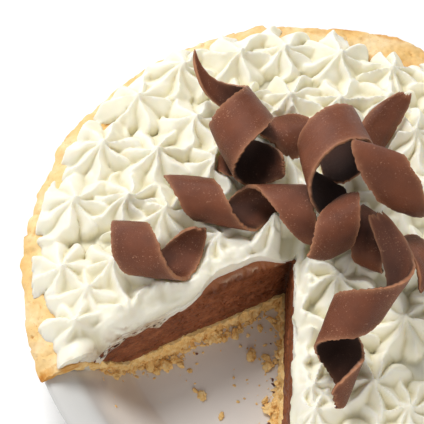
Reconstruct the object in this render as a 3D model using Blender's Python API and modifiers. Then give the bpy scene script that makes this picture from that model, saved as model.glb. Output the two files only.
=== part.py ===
"""French silk pie in its own white pie dish, with one slice taken out.

The pie is a turned stack: a baked crust lying in the dish, a thick chocolate
filling, and a coat of whipped cream piped as rings of stars.  Shaved
chocolate curls lie on the cream.  Metres, +Z up, origin at the middle of the
dish's flat base.
"""
import math

import bmesh
import bpy
from mathutils import Vector
from mathutils.bvhtree import BVHTree
from mathutils.geometry import delaunay_2d_cdt

MM = 0.001

# ---------------------------------------------------------------- dimensions
SEGMENTS = 48            # facets round every turned piece
GAP = 0.3                # mm left between two pieces that touch

# dish, mm
DISH_RIM_R = 119.0       # outer edge of the flange
DISH_FLANGE_Z = 34.0     # top of the flange
DISH_FLANGE_R = 107.0    # where the flange starts
DISH_FLOOR_Z = 4.5       # top of the floor
DISH_FLOOR_R = 78.0      # flat part of the floor
DISH_FOOT_R = 79.0       # flat part of the underside
DISH_WALL = 4.0

# crust, mm
CRUST_RIM_R = 120.4      # mean outer edge, which is wavy
CRUST_FLOOR = 8.7        # thickness on the dish's floor
CRUST_WALL = 5.5
CRUST_RIM_Z = 41.2       # highest line of the rim
CRUST_EDGE_Z = 38.2      # the outer edge's upper corner

# filling, mm
FILL_TOP_Z = 49.5
FILL_EDGE_Z = 31.0       # where it ends on the crust's wall

# cream, mm
CREAM_EDGE_R = 111.5     # where the cream ends on the crust
CREAM_BASE_Z = 55.5      # level between the stars, at the middle
CREAM_DROP = 11.5        # how far that level falls by the outer ring
STAR_HEIGHT = 13.0
STAR_R = 13.2
STAR_RIBS = 6
PRESS_GAP = 0.8          # between a curl and the cream it lies on
RING_R = (100.5, 80.5, 60.5, 40.0, 20.0, 0.0)
RING_COUNT = (25, 21, 15, 10, 5, 1)
RING_PHASE = (76.0, 71.0, 8.0, 328.0, 20.0, 0.0)
PIPING_SHIFT = (-3.2, 2.2)   # the piping sits a little off the dish's centre

# missing slice: corner of the cut and the directions of its two faces
CUT_APEX = (-10.5, 0.5)
CUT_LEFT_DEG = 213.7
CUT_RIGHT_DEG = 274.9
SMEAR = 15.0             # width of the band that the knife smoothed, mm

# shaved chocolate curls: ribbons wound on slanting axes, mm and degrees
CURL_THICK = 1.8
CURL_ACROSS = 2          # facets across a ribbon
CURL_CHORD = 5.6         # length of a facet along a ribbon
CURLS = {
    "curl_low": dict(at=(12.7, 2.7, 60.1), axis=(-12, -14), radius=(16.4, 4.2), bulge=3.0,
        phase=90, turns=0.50, pitch=29.5, width=20.0, cone=(-0.00, 0.33),
        taper=(0.78, 0.80), lean=(0.39, -0.02), stretch=1.49),
    "curl_back": dict(at=(-23.5, 51.4, 53.7), axis=(37, -16), radius=(7.2, 13.4), bulge=-1.6,
        phase=90, turns=0.33, pitch=29.6, width=21.2, cone=(-0.08, -0.22),
        taper=(0.30, 0.22), lean=(0.00, -0.46), stretch=0.65),
    "curl_edge": dict(at=(31.7, -6.0, 67.2), axis=(52, -42), radius=(7.3, 12.7), bulge=-2.0,
        phase=35, turns=0.69, pitch=-29.3, width=19.8, cone=(0.32, -0.17),
        taper=(0.55, 0.80), lean=(-0.15, 0.48), stretch=1.26),
    "curl_leaf": dict(at=(27.3, 45.5, 75.1), axis=(-46, -25), radius=(7.5, 25.1), bulge=-0.5,
        phase=233, turns=0.47, pitch=-71.4, width=21.5, cone=(0.37, -0.05),
        taper=(0.83, 0.59), lean=(-0.00, 0.13), stretch=-0.17,
        slant=(-1.1, -5.0, 8.6)),
    "curl_left": dict(at=(-31.4, 11.4, 66.1), axis=(179, -3), radius=(12.0, 8.8), bulge=-1.8,
        phase=252, turns=1.46, pitch=37.5, width=17.9, cone=(-0.09, 0.16),
        taper=(0.29, 0.02), lean=(0.03, -0.04), stretch=-0.02),
    "curl_tip": dict(at=(-41.7, 34.1, 58.1), axis=(-76, -21), radius=(3.6, 3.7), bulge=-0.5,
        phase=144, turns=0.85, pitch=-8.3, width=8.1, cone=(0.28, -0.28),
        taper=(0.31, 0.74), lean=(-0.09, -0.00), stretch=-1.03,
        drift=(-0.9, 0.0)),
    "curl_middle": dict(at=(-1.6, 31.0, 86.2), axis=(-66, 14), radius=(14.1, 14.3), bulge=-0.2,
        phase=85, turns=1.05, pitch=17.7, width=20.0, cone=(0.07, 0.37),
        taper=(0.10, 0.13), lean=(0.08, -0.31), stretch=1.50),
    "curl_tall": dict(at=(-38.5, 44.3, 71.2), axis=(-58, -10), radius=(11.6, 10.5), bulge=0.1,
        phase=91, turns=1.44, pitch=22.4, width=21.8, cone=(0.13, -0.74),
        taper=(0.69, 0.19), lean=(-0.43, 0.10), stretch=-0.13,
        flare=(-5.0, -0.3), drift=(-15.9, 5.3),
        slant=(-0.1, -5.0, 8.7)),
    "curl_front_left": dict(at=(-67.1, -12.4, 63.7), axis=(179, -12), radius=(10.4, 11.0), bulge=-0.9,
        phase=12, turns=1.13, pitch=26.5, width=18.8, cone=(-0.04, 0.05),
        taper=(0.32, 0.39), lean=(-0.31, 0.15), stretch=-0.19),
    "curl_right": dict(at=(20.1, 16.9, 93.0), axis=(-20, 22), radius=(13.0, 9.9), bulge=-1.6,
        phase=87, turns=0.61, pitch=58.2, width=19.6, cone=(-0.07, -0.42),
        taper=(0.26, 0.29), lean=(-0.22, -0.18), stretch=0.25,
        slant=(4.2, 19.2, -34.8)),
    "curl_front": dict(at=(1.4, 1.9, 80.5), axis=(39, 5), radius=(6.7, 11.3), bulge=-2.7,
        phase=116, turns=0.57, pitch=-33.9, width=17.6, cone=(0.13, 0.76),
        taper=(0.40, 0.03), lean=(0.47, -0.02), stretch=-0.09),
    "curl_scroll": dict(at=(11.1, -38.6, 76.7), axis=(69, 34), radius=(8.0, 11.8), bulge=-1.6,
        phase=28, turns=1.53, pitch=34.2, width=18.0, cone=(0.05, -0.06),
        taper=(0.15, 0.35), lean=(-0.57, 0.11), stretch=0.17,
        flare=(6.9, 8.6), drift=(1.3, 11.8)),
}


# ------------------------------------------------------------------- helpers
def clear_scene():
    for ob in list(bpy.data.objects):
        bpy.data.objects.remove(ob, do_unlink=True)


def collection(name):
    col = bpy.data.collections.new(name)
    bpy.context.scene.collection.children.link(col)
    return col


def material(name, rgb, roughness, metallic=0.0):
    mat = bpy.data.materials.new(name)
    mat.use_nodes = True
    bsdf = mat.node_tree.nodes["Principled BSDF"]
    bsdf.inputs["Base Color"].default_value = (*rgb, 1.0)
    bsdf.inputs["Roughness"].default_value = roughness
    bsdf.inputs["Metallic"].default_value = metallic
    return mat


def add_object(name, mesh, col, mat=None):
    ob = bpy.data.objects.new(name, mesh)
    col.objects.link(ob)
    if mat:
        mesh.materials.append(mat)
    return ob


def turned(name, profile_mm, col, mat=None):
    """Turn a profile of (radius, height) pairs, given in mm, about Z."""
    mesh = bpy.data.meshes.new(name)
    verts = [(r * MM, 0.0, z * MM) for r, z in profile_mm]
    mesh.from_pydata(verts, [(i, i + 1) for i in range(len(verts) - 1)], [])
    ob = add_object(name, mesh, col, mat)
    screw = ob.modifiers.new("turn", "SCREW")
    screw.axis = "Z"
    screw.angle = 2 * math.pi
    screw.steps = SEGMENTS
    screw.render_steps = SEGMENTS
    screw.use_merge_vertices = True
    screw.merge_threshold = 0.00005
    screw.use_smooth_shade = False
    return ob


def baked(ob):
    """Replace an object's mesh by its evaluated mesh."""
    bpy.context.view_layer.update()
    deps = bpy.context.evaluated_depsgraph_get()
    mesh = bpy.data.meshes.new_from_object(ob.evaluated_get(deps))
    old = ob.data
    ob.modifiers.clear()
    ob.data = mesh
    bpy.data.meshes.remove(old)
    return ob


def cut(ob, cutter, name):
    boolean = ob.modifiers.new(name, "BOOLEAN")
    boolean.operation = "DIFFERENCE"
    boolean.object = cutter
    boolean.solver = "EXACT"


def smooth(ob, degrees=35.0):
    ob.data.shade_smooth()
    ob.data.set_sharp_from_angle(angle=math.radians(degrees))


def step(a, b, x):
    t = min(1.0, max(0.0, (x - a) / (b - a)))
    return t * t * (3.0 - 2.0 * t)


# ------------------------------------------------------------------ profiles
def dish_profile():
    slope = Vector((DISH_FLANGE_R - 3.5 - (DISH_FLOOR_R + 5.5),
                    DISH_FLANGE_Z - 4.5 - (DISH_FLOOR_Z + 2.0))).normalized()
    out = Vector((slope.y, -slope.x)) * DISH_WALL
    low = Vector((DISH_FLOOR_R + 5.5, DISH_FLOOR_Z + 2.0))
    high = Vector((DISH_FLANGE_R - 3.5, DISH_FLANGE_Z - 4.5))
    return [
        (0.0, DISH_FLOOR_Z), (DISH_FLOOR_R, DISH_FLOOR_Z), tuple(low),
        tuple(high), (DISH_FLANGE_R, DISH_FLANGE_Z - 1.3),
        (DISH_FLANGE_R + 3.5, DISH_FLANGE_Z - 0.3),
        (DISH_RIM_R - 1.6, DISH_FLANGE_Z), (DISH_RIM_R, DISH_FLANGE_Z - 1.4),
        (DISH_RIM_R - 1.2, DISH_FLANGE_Z - 3.2),
        (DISH_FLANGE_R + 2.4, DISH_FLANGE_Z - 4.6),
        tuple(high + out), tuple(low + out),
        (DISH_FOOT_R + 4.5, 0.9), (DISH_FOOT_R, 0.0), (0.0, 0.0),
    ]


def crust_under():
    """The crust's underside: the dish's inner surface, lifted by the gap."""
    lift = GAP * 1.15
    return [(max(r - GAP * 0.75, 0.0), z + lift) for r, z in dish_profile()[:6]] + [
        (DISH_RIM_R - 2.4, DISH_FLANGE_Z + lift)]


def crust_inside():
    low = Vector((DISH_FLOOR_R + 5.5, DISH_FLOOR_Z + 2.0))
    high = Vector((DISH_FLANGE_R - 3.5, DISH_FLANGE_Z - 4.5))
    slope = (high - low).normalized()
    shift = Vector((-slope.y, slope.x)) * CRUST_WALL
    floor_z = DISH_FLOOR_Z + GAP + CRUST_FLOOR
    foot = low + shift
    foot += slope * ((floor_z + 1.8 - foot.y) / slope.y)
    top = high + shift
    return [(0.0, floor_z), (foot.x - 4.6, floor_z), (foot.x, foot.y),
            (top.x, top.y), (top.x + 2.1, top.y + 3.6)]


def crust_profile():
    rim = [(104.3, CRUST_RIM_Z - 1.6), (107.6, CRUST_RIM_Z),
           (113.2, CRUST_RIM_Z - 0.3), (CRUST_RIM_R - 1.5, CRUST_EDGE_Z + 0.7),
           (CRUST_RIM_R, CRUST_EDGE_Z - 1.4), (CRUST_RIM_R - 0.5, DISH_FLANGE_Z + 0.9)]
    return crust_inside() + rim + list(reversed(crust_under()))


def wall_radius(z):
    """Radius of the crust's inner wall at a height."""
    foot, top = crust_inside()[2:4]
    return foot[0] + (top[0] - foot[0]) * (z - foot[1]) / (top[1] - foot[1])


def filling_top():
    """The filling's top line; it ends in a blunt shoulder short of the rim."""
    return [(0.0, FILL_TOP_Z), (38.0, FILL_TOP_Z - 0.2), (66.0, FILL_TOP_Z - 1.0),
            (84.0, FILL_TOP_Z - 2.8), (90.5, FILL_TOP_Z - 6.0),
            (94.0, FILL_EDGE_Z + 5.5),
            (wall_radius(FILL_EDGE_Z) - 1.3 * GAP, FILL_EDGE_Z)]


def filling_profile():
    inner = crust_inside()
    wall = [(r - GAP * 0.9, z + GAP * 0.9) for r, z in inner[1:3]]
    return filling_top() + list(reversed(wall)) + [(0.0, inner[0][1] + GAP)]


def cream_under():
    """Line of the cream's underside: over the filling and the crust's rim."""
    top = [(r, z + GAP) for r, z in filling_top()[:-1]]
    wall = [(r - 0.6 * GAP, z + GAP) for r, z in crust_inside()[3:5]]
    return top + [(wall_radius(FILL_EDGE_Z) - 0.4 * GAP, FILL_EDGE_Z + 1.2 * GAP)] + wall + [
                  (104.2, CRUST_RIM_Z - 1.1),
                  (107.6, CRUST_RIM_Z + GAP), (113.2, CRUST_RIM_Z - 0.3 + GAP),
                  (124.0, CRUST_EDGE_Z + 0.9)]


# ------------------------------------------------------------- piped cream
def star_centres():
    """Rings of stars as (x, y, size, twist), in mm; each ring has its phase."""
    stars = []
    for ring, (radius, count, phase) in enumerate(zip(RING_R, RING_COUNT, RING_PHASE)):
        for k in range(count):
            a = math.radians(phase + 360.0 * k / count)
            wobble = 1.1 * math.sin(5.3 * k + 2.1 * ring)
            x = PIPING_SHIFT[0] + (radius + wobble) * math.cos(a)
            y = PIPING_SHIFT[1] + (radius + wobble) * math.sin(a)
            size = 1.0 + 0.05 * math.sin(3.7 * k + ring)
            stars.append((x, y, size, a + 0.3 * math.sin(2.9 * k + ring)))
    return stars


def cut_distance(x, y):
    """Distance in mm from the nearer face of the cut; negative in the slice."""
    dists = []
    for deg, sign in ((CUT_LEFT_DEG, -1.0), (CUT_RIGHT_DEG, 1.0)):
        a = math.radians(deg)
        nx, ny = -math.sin(a) * sign, math.cos(a) * sign
        dists.append((x - CUT_APEX[0]) * nx + (y - CUT_APEX[1]) * ny)
    return max(dists)


def cream_edge(angle):
    """Outline of the cream on the crust, lobed by the outer ring of stars."""
    count = RING_COUNT[0]
    lobe = 1.0 + math.cos(count * (angle - math.radians(RING_PHASE[0])))
    fine = math.cos(3 * count * angle)
    return CREAM_EDGE_R - 2.2 + 1.7 * lobe + 0.5 * fine


def base_level(x, y):
    r = math.hypot(x - PIPING_SHIFT[0], y - PIPING_SHIFT[1]) / RING_R[0]
    level = CREAM_BASE_Z - CREAM_DROP * min(r, 1.12) ** 2.6
    return level - 3.0 * (1.0 - step(0.0, SMEAR, cut_distance(x, y)))


def pressed(x, y, ribbons, margin=2.2):
    """Height in mm that the curls above a point press the cream down to."""
    low = 1000.0
    for k in range(7):
        dx = margin * math.cos(k) if k else 0.0
        dy = margin * math.sin(k) if k else 0.0
        start = Vector(((x + dx) * MM, (y + dy) * MM, 0.02))
        for tree in ribbons:
            hit = tree.ray_cast(start, Vector((0.0, 0.0, 1.0)))[0]
            if hit:
                low = min(low, hit.z / MM)
    return low


def relief_points(ribbons):
    """Points and heights of the piped surface, in mm: tips, ribs, valleys."""
    stars = [s for s in star_centres() if cut_distance(s[0], s[1]) > 2.0]
    points = []
    for i, (sx, sy, size, twist) in enumerate(stars):
        keep = step(1.0, SMEAR, cut_distance(sx, sy))
        height = STAR_HEIGHT * size * (0.3 + 0.7 * keep)
        top = base_level(sx, sy) + height
        points.append((sx, sy, min(top, pressed(sx, sy, ribbons))))
        for rho, rib, valley in ((0.46, 0.74, 0.34), (0.98, 0.20, None)):
            for k in range(2 * STAR_RIBS):
                is_rib = k % 2 == 0
                share = rib if is_rib else valley
                radius = STAR_R * size * (rho if is_rib or valley else 0.80)
                a = twist + math.pi * k / STAR_RIBS + 0.25 * rho
                x, y = sx + radius * math.cos(a), sy + radius * math.sin(a)
                near = min(math.hypot(x - o[0], y - o[1])
                           for j, o in enumerate(stars) if j != i)
                if near < radius + 1.2:
                    continue
                z = base_level(x, y) + (height * share if share else 0.0)
                points.append((x, y, min(z, pressed(x, y, ribbons))))
    # hollows that the curls lie in
    pitch = 5.0
    for i in range(-24, 25):
        for j in range(-24, 25):
            x, y = i * pitch + 0.37 * j, j * pitch
            limit = pressed(x, y, ribbons, 1.2)
            if limit < base_level(x, y) + STAR_HEIGHT and all(
                    math.hypot(x - p[0], y - p[1]) > 2.4 for p in points):
                points.append((x, y, min(base_level(x, y) + 1.0, limit)))
    return points


def press_down(bm, ribbons):
    """Lower the cream's points step by step until it clears every curl."""
    for _ in range(40):
        bm.faces.ensure_lookup_table()
        surface = BVHTree.FromBMesh(bm)
        hit = {a for tree in ribbons for a, _ in surface.overlap(tree)}
        if not hit:
            return
        for v in {v for i in hit for v in bm.faces[i].verts if not v.is_boundary}:
            v.co.z -= 0.6 * MM


def cream_block(col, mat, ribbons):
    """The piped surface as a slab; the cutters give it its underside."""
    outline = []
    steps = 3 * RING_COUNT[0]
    for k in range(steps):
        a = 2 * math.pi * k / steps
        r = cream_edge(a)
        outline.append((PIPING_SHIFT[0] * 0.3 + r * math.cos(a),
                        PIPING_SHIFT[1] * 0.3 + r * math.sin(a)))
    points = []
    for x, y, z in relief_points(ribbons):
        a = math.atan2(y, x)
        if math.hypot(x, y) < cream_edge(a) - 1.5:
            points.append((x, y, z))
    flat = [Vector(p) for p in outline] + [Vector(p[:2]) for p in points]
    count = len(outline)
    edges = [(i, (i + 1) % count) for i in range(count)]
    co, _, faces, orig, _, _ = delaunay_2d_cdt(flat, edges, [], 1, 1e-4)
    heights = [CRUST_RIM_Z + 1.3] * count + [p[2] for p in points]
    bm = bmesh.new()
    tops = []
    for c, src in zip(co, orig):
        z = heights[src[0]] if src else base_level(c.x, c.y)
        tops.append(bm.verts.new((c.x * MM, c.y * MM, z * MM)))
    for f in faces:
        bm.faces.new([tops[i] for i in f])
    bmesh.ops.recalc_face_normals(bm, faces=bm.faces)
    if sum(f.normal.z for f in bm.faces) < 0:
        bmesh.ops.reverse_faces(bm, faces=bm.faces)
    press_down(bm, ribbons)
    rim = [e for e in bm.edges if e.is_boundary]
    skirt = bmesh.ops.extrude_edge_only(bm, edges=rim)["geom"]
    for v in (g for g in skirt if isinstance(g, bmesh.types.BMVert)):
        v.co.z = (DISH_FLANGE_Z - 2.0) * MM
    lower = [e for e in bm.edges if e.is_boundary]
    bmesh.ops.contextual_create(bm, geom=lower)
    bmesh.ops.recalc_face_normals(bm, faces=bm.faces)
    mesh = bpy.data.meshes.new("whipped_cream")
    bm.to_mesh(mesh)
    bm.free()
    return add_object("whipped_cream", mesh, col, mat)


# --------------------------------------------------------- chocolate curls
def ribbon_point(spec, u, t):
    """Point of a ribbon, u from 0 to 1 along it, t from -1 to 1 across."""
    azimuth, tilt = (math.radians(d) for d in spec["axis"])
    axis = Vector((math.cos(azimuth) * math.cos(tilt),
                   math.sin(azimuth) * math.cos(tilt), math.sin(tilt)))
    side = Vector((-math.sin(azimuth), math.cos(azimuth), 0.0))
    other = axis.cross(side)
    r0, r1 = spec["radius"]
    middle = 0.5 * (r0 + r1 + spec["bulge"])
    lead = math.atan2(spec["pitch"], 2 * math.pi * middle)
    fade = [min(1.0, math.sqrt(max(0.0, (q + 0.02) / max(share, 0.001))))
            for q, share in ((u, spec["taper"][0]), (1.0 - u, spec["taper"][1]))]
    across = 0.5 * spec["width"] * (t * fade[0] * fade[1]
                                    + spec["lean"][0] * (1.0 - fade[0])
                                    + spec["lean"][1] * (1.0 - fade[1]))
    v = u - 0.5
    slant = Vector(spec.get("slant", (0.0, 0.0, 0.0))) * v
    flare, drift = spec.get("flare", (0.0, 0.0)), spec.get("drift", (0.0, 0.0))
    ends = [max(0.0, 1.0 - q / 0.35) ** 2 for q in (u, 1.0 - u)]
    radius = (r0 + (r1 - r0) * u + spec["bulge"] * 4 * u * (1 - u)
              + (spec["cone"][0] + spec["cone"][1] * v) * across
              + flare[0] * ends[0] + flare[1] * ends[1])
    angle = (math.radians(spec["phase"]) + 2 * math.pi * spec["turns"] * v
             - across * math.sin(lead) / middle)
    along = (spec["pitch"] * spec["turns"] * (v + spec["stretch"] * v * v)
             + across * math.cos(lead) + drift[0] * ends[0] + drift[1] * ends[1])
    return (Vector(spec["at"]) + axis * along + slant
            + (side * math.cos(angle) + other * math.sin(angle)) * max(radius, 1.5))


def curl(name, spec, col, mat):
    """One shaved ribbon: a grid wound by ribbon_point, thickened evenly."""
    length = 2 * math.pi * spec["turns"] * 0.5 * sum(spec["radius"])
    along = max(8, round(math.hypot(length, spec["pitch"] * spec["turns"]) / CURL_CHORD))
    bm = bmesh.new()
    bmesh.ops.create_grid(bm, x_segments=along, y_segments=CURL_ACROSS, size=1.0)
    for v in bm.verts:
        v.co = ribbon_point(spec, 0.5 * (v.co.x + 1.0), v.co.y) * MM
    mesh = bpy.data.meshes.new(name)
    bm.to_mesh(mesh)
    bm.free()
    ob = add_object(name, mesh, col, mat)
    skin = ob.modifiers.new("thickness", "SOLIDIFY")
    skin.thickness = CURL_THICK * MM
    skin.offset = 0.0
    smooth(ob, 40.0)
    return ob


def swollen(ob, margin):
    """Tree of a curl that is thicker by the margin on both sides, in mm."""
    skin = ob.modifiers["thickness"]
    skin.thickness = (CURL_THICK + 2 * margin) * MM
    bpy.context.view_layer.update()
    tree = BVHTree.FromObject(ob, bpy.context.evaluated_depsgraph_get())
    skin.thickness = CURL_THICK * MM
    return tree


# ------------------------------------------------------------------- cutters
def slice_cutter(col):
    """A wedge with its corner at the cut's apex, taller than the pie."""
    reach, low, high = 170.0, DISH_FLOOR_Z + 0.1, 90.0
    a, b = math.radians(CUT_LEFT_DEG), math.radians(CUT_RIGHT_DEG)
    corner = Vector((*CUT_APEX, low))
    bm = bmesh.new()
    ring = [corner + Vector((math.cos(t), math.sin(t), 0.0)) * reach
            for t in (a, 0.5 * (a + b), b)]
    base = bm.faces.new([bm.verts.new(v * MM) for v in (corner, *ring)])
    top = bmesh.ops.extrude_face_region(bm, geom=[base])["geom"]
    for v in (g for g in top if isinstance(g, bmesh.types.BMVert)):
        v.co.z = high * MM
    bmesh.ops.recalc_face_normals(bm, faces=bm.faces)
    mesh = bpy.data.meshes.new("slice_cutter")
    bm.to_mesh(mesh)
    bm.free()
    ob = add_object("slice_cutter", mesh, col)
    ob.hide_render = True
    ob.display_type = "WIRE"
    return ob


def underside_cutter(col):
    """What lies under the cream, turned, so the cream rests on it."""
    line = cream_under()
    ob = turned("underside_cutter", line + [(124.0, 10.0), (0.0, 10.0)], col)
    ob.hide_render = True
    ob.display_type = "WIRE"
    return ob


def wavy_edge(ob):
    """Give the crust's rim its uneven hand-made outline."""
    for v in ob.data.vertices:
        r = math.hypot(v.co.x, v.co.y) / MM
        if r > 112.0:
            a = math.atan2(v.co.y, v.co.x)
            wave = (0.55 * math.sin(5 * a + 0.6) + 0.45 * math.sin(9 * a + 2.0)
                    + 0.5 * math.sin(14 * a + 1.1))
            share = (r - 112.0) / (CRUST_RIM_R - 112.0)
            scale = 1.0 + wave * share / r
            v.co.x *= scale
            v.co.y *= scale


# --------------------------------------------------------------------- build
def main():
    clear_scene()
    parts = collection("french_silk_pie")
    tools = collection("cutters")
    glaze = material("white_ceramic", (0.86, 0.86, 0.85), 0.18)
    baked_dough = material("golden_crust", (0.80, 0.55, 0.27), 0.75)
    silk = material("chocolate_filling", (0.20, 0.075, 0.040), 0.55)
    whipped = material("whipped_cream", (0.90, 0.88, 0.78), 0.55)

    wedge = slice_cutter(tools)
    under = underside_cutter(tools)

    dish = turned("dish", dish_profile(), parts, glaze)
    smooth(baked(dish))

    crust = turned("crust", crust_profile(), parts, baked_dough)
    wavy_edge(baked(crust))
    cut(crust, wedge, "slice")

    filling = turned("chocolate_filling", filling_profile(), parts, silk)
    baked(filling)
    cut(filling, wedge, "slice")

    shaved = material("milk_chocolate", (0.17, 0.062, 0.036), 0.45)
    curls = [curl(name, spec, parts, shaved) for name, spec in CURLS.items()]
    ribbons = [swollen(ob, PRESS_GAP) for ob in curls]

    cream = cream_block(parts, whipped, ribbons)
    cut(cream, under, "rests on filling")
    cut(cream, wedge, "slice")

    for ob in (crust, filling, cream):
        smooth(ob, 30.0)


main()
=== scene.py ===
"""Looks of the french silk pie: baked crust, silky filling, piped cream, shaved curls."""
import math

import bmesh
import bpy
import numpy as np
from mathutils import Matrix, Vector
from mathutils.bvhtree import BVHTree


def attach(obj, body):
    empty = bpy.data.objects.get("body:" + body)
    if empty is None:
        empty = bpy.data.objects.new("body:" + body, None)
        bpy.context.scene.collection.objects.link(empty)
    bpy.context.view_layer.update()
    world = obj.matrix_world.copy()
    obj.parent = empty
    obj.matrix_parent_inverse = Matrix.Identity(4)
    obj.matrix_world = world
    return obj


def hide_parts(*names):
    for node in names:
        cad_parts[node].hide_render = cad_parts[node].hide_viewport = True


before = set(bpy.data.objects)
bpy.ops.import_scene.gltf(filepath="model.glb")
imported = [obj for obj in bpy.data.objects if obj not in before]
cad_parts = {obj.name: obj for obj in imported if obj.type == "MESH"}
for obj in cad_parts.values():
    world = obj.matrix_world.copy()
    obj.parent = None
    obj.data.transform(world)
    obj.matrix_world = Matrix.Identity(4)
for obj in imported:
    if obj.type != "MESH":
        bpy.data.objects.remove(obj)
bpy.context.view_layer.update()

MM = 0.001

# ------------------------------------------------------------------ sizes, mm
APEX = np.array([-10.5, 0.5])        # corner of the missing slice
LEFT, RIGHT = math.radians(213.7), math.radians(274.9)
SHIFT = np.array([-3.2, 2.2])        # middle of the piping
FLOOR_Z = 4.5                        # top of the dish's floor
CREAM_STEP = 0.63                    # grid of the piped surface


# -------------------------------------------------------------------- noise
def lattice(ix, iy, iz, seed):
    with np.errstate(over="ignore"):
        h = (ix.astype(np.uint32) * np.uint32(374761393)
             ^ iy.astype(np.uint32) * np.uint32(668265263)
             ^ iz.astype(np.uint32) * np.uint32(2246822519))
        h = h + np.uint32((seed * 3266489917 + 97) % 4294967296)
        h = (h ^ (h >> np.uint32(15))) * np.uint32(2246822519)
        h = (h ^ (h >> np.uint32(13))) * np.uint32(3266489917)
        h = h ^ (h >> np.uint32(16))
    return h.astype(np.float64) / 2147483647.5 - 1.0


def noise(x, y=0.0, z=0.0, seed=0):
    """Smooth noise from -1 to 1 at scaled places."""
    x, y, z = np.broadcast_arrays(np.asarray(x, float), np.asarray(y, float), np.asarray(z, float))
    cell = [np.floor(a) for a in (x, y, z)]
    f = [a - c for a, c in zip((x, y, z), cell)]
    f = [t * t * t * (t * (t * 6 - 15) + 10) for t in f]
    cell = [c.astype(np.int64) for c in cell]
    total = np.zeros(x.shape)
    for dx in (0, 1):
        for dy in (0, 1):
            for dz in (0, 1):
                w = ((f[0] if dx else 1 - f[0]) * (f[1] if dy else 1 - f[1])
                     * (f[2] if dz else 1 - f[2]))
                total += w * lattice(cell[0] + dx, cell[1] + dy, cell[2] + dz, seed)
    return total


def fbm(x, y=0.0, z=0.0, octaves=3, seed=0):
    total, scale, size = 0.0, 1.0, 1.0
    for o in range(octaves):
        total = total + size * noise(np.asarray(x) * scale, np.asarray(y) * scale,
                                     np.asarray(z) * scale, seed + 17 * o)
        scale *= 2.03
        size *= 0.5
    return total


def smoothstep(a, b, x):
    t = np.clip((x - a) / (b - a), 0.0, 1.0)
    return t * t * (3.0 - 2.0 * t)


def blurred(field, sigma):
    half = max(1, int(math.ceil(3 * sigma)))
    kernel = np.exp(-0.5 * (np.arange(-half, half + 1) / sigma) ** 2)
    kernel /= kernel.sum()
    out = field
    for axis in (0, 1):
        pad = [(half, half) if a == axis else (0, 0) for a in (0, 1)]
        big = np.pad(out, pad, mode="edge")
        out = sum(k * np.take(big, range(i, i + field.shape[axis]), axis=axis)
                  for i, k in enumerate(kernel))
    return out


# -------------------------------------------------------------------- meshes
def mesh_object(name, verts_mm, faces, mat=None, smooth=True, sharp=None):
    mesh = bpy.data.meshes.new(name)
    verts = np.asarray(verts_mm, float) * MM
    mesh.from_pydata(verts.tolist(), [], faces if isinstance(faces, list) else faces.tolist())
    mesh.update()
    ob = bpy.data.objects.new(name, mesh)
    bpy.context.scene.collection.objects.link(ob)
    if mat:
        mesh.materials.append(mat)
    if smooth:
        mesh.shade_smooth()
        if sharp:
            mesh.set_sharp_from_angle(angle=math.radians(sharp))
    return ob


def grid_faces(rows, cols, wrap=False, start=0):
    r = np.arange(rows - 1)[:, None]
    c = np.arange(cols if wrap else cols - 1)[None, :]
    n = (c + 1) % cols
    a = start + r * cols + c
    b = start + r * cols + n
    d = start + (r + 1) * cols + c
    e = start + (r + 1) * cols + n
    return np.stack([a, b, e, d], axis=-1).reshape(-1, 4)


def resampled(profile, gaps):
    """Points along a profile; gaps gives the spacing for each of its spans."""
    out = [profile[0]]
    for (a, b), gap in zip(zip(profile[:-1], profile[1:]), gaps):
        length = math.hypot(b[0] - a[0], b[1] - a[1])
        n = max(1, int(round(length / gap)))
        out += [(a[0] + (b[0] - a[0]) * k / n, a[1] + (b[1] - a[1]) * k / n)
                for k in range(1, n + 1)]
    return out


def rounded(profile, passes=2, keep=()):
    """Corner cutting that leaves the ends and the kept corners alone."""
    pts = [tuple(p) for p in profile]
    keep = {tuple(p) for p in keep}
    for _ in range(passes):
        new = [pts[0]]
        for i in range(1, len(pts) - 1):
            p, a, b = pts[i], pts[i - 1], pts[i + 1]
            if p in keep:
                new.append(p)
            else:
                new.append((p[0] * 0.75 + a[0] * 0.25, p[1] * 0.75 + a[1] * 0.25))
                new.append((p[0] * 0.75 + b[0] * 0.25, p[1] * 0.75 + b[1] * 0.25))
        new.append(pts[-1])
        pts = new
    return pts


def lathe(name, profile, segments, mat=None, move=None, sharp=None):
    """Closed turned body from a profile that starts and ends on the axis,
    going up the inside or top first and back along the outside."""
    a = np.arange(segments) * 2 * math.pi / segments
    inner = [p for p in profile[1:-1]]
    r = np.array([p[0] for p in inner])[:, None]
    z = np.array([p[1] for p in inner])[:, None]
    x = r * np.cos(a)[None, :]
    y = r * np.sin(a)[None, :]
    zz = np.repeat(z, segments, axis=1)
    pts = np.stack([x, y, zz], axis=-1)
    if move is not None:
        pts = move(pts)
    rows = len(inner)
    verts = np.concatenate([pts.reshape(-1, 3), [[0, 0, profile[0][1]], [0, 0, profile[-1][1]]]])
    faces = grid_faces(rows, segments, wrap=True)[:, ::-1].tolist()
    top, bottom = rows * segments, rows * segments + 1
    for k in range(segments):
        n = (k + 1) % segments
        faces.append([top, k, n])
        faces.append([bottom, (rows - 1) * segments + n, (rows - 1) * segments + k])
    ob = mesh_object(name, verts, faces, mat, sharp=sharp)
    bm = bmesh.new()
    bm.from_mesh(ob.data)
    if bm.calc_volume(signed=True) < 0:
        bmesh.ops.reverse_faces(bm, faces=bm.faces)
        bm.to_mesh(ob.data)
    bm.free()
    return ob


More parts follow.
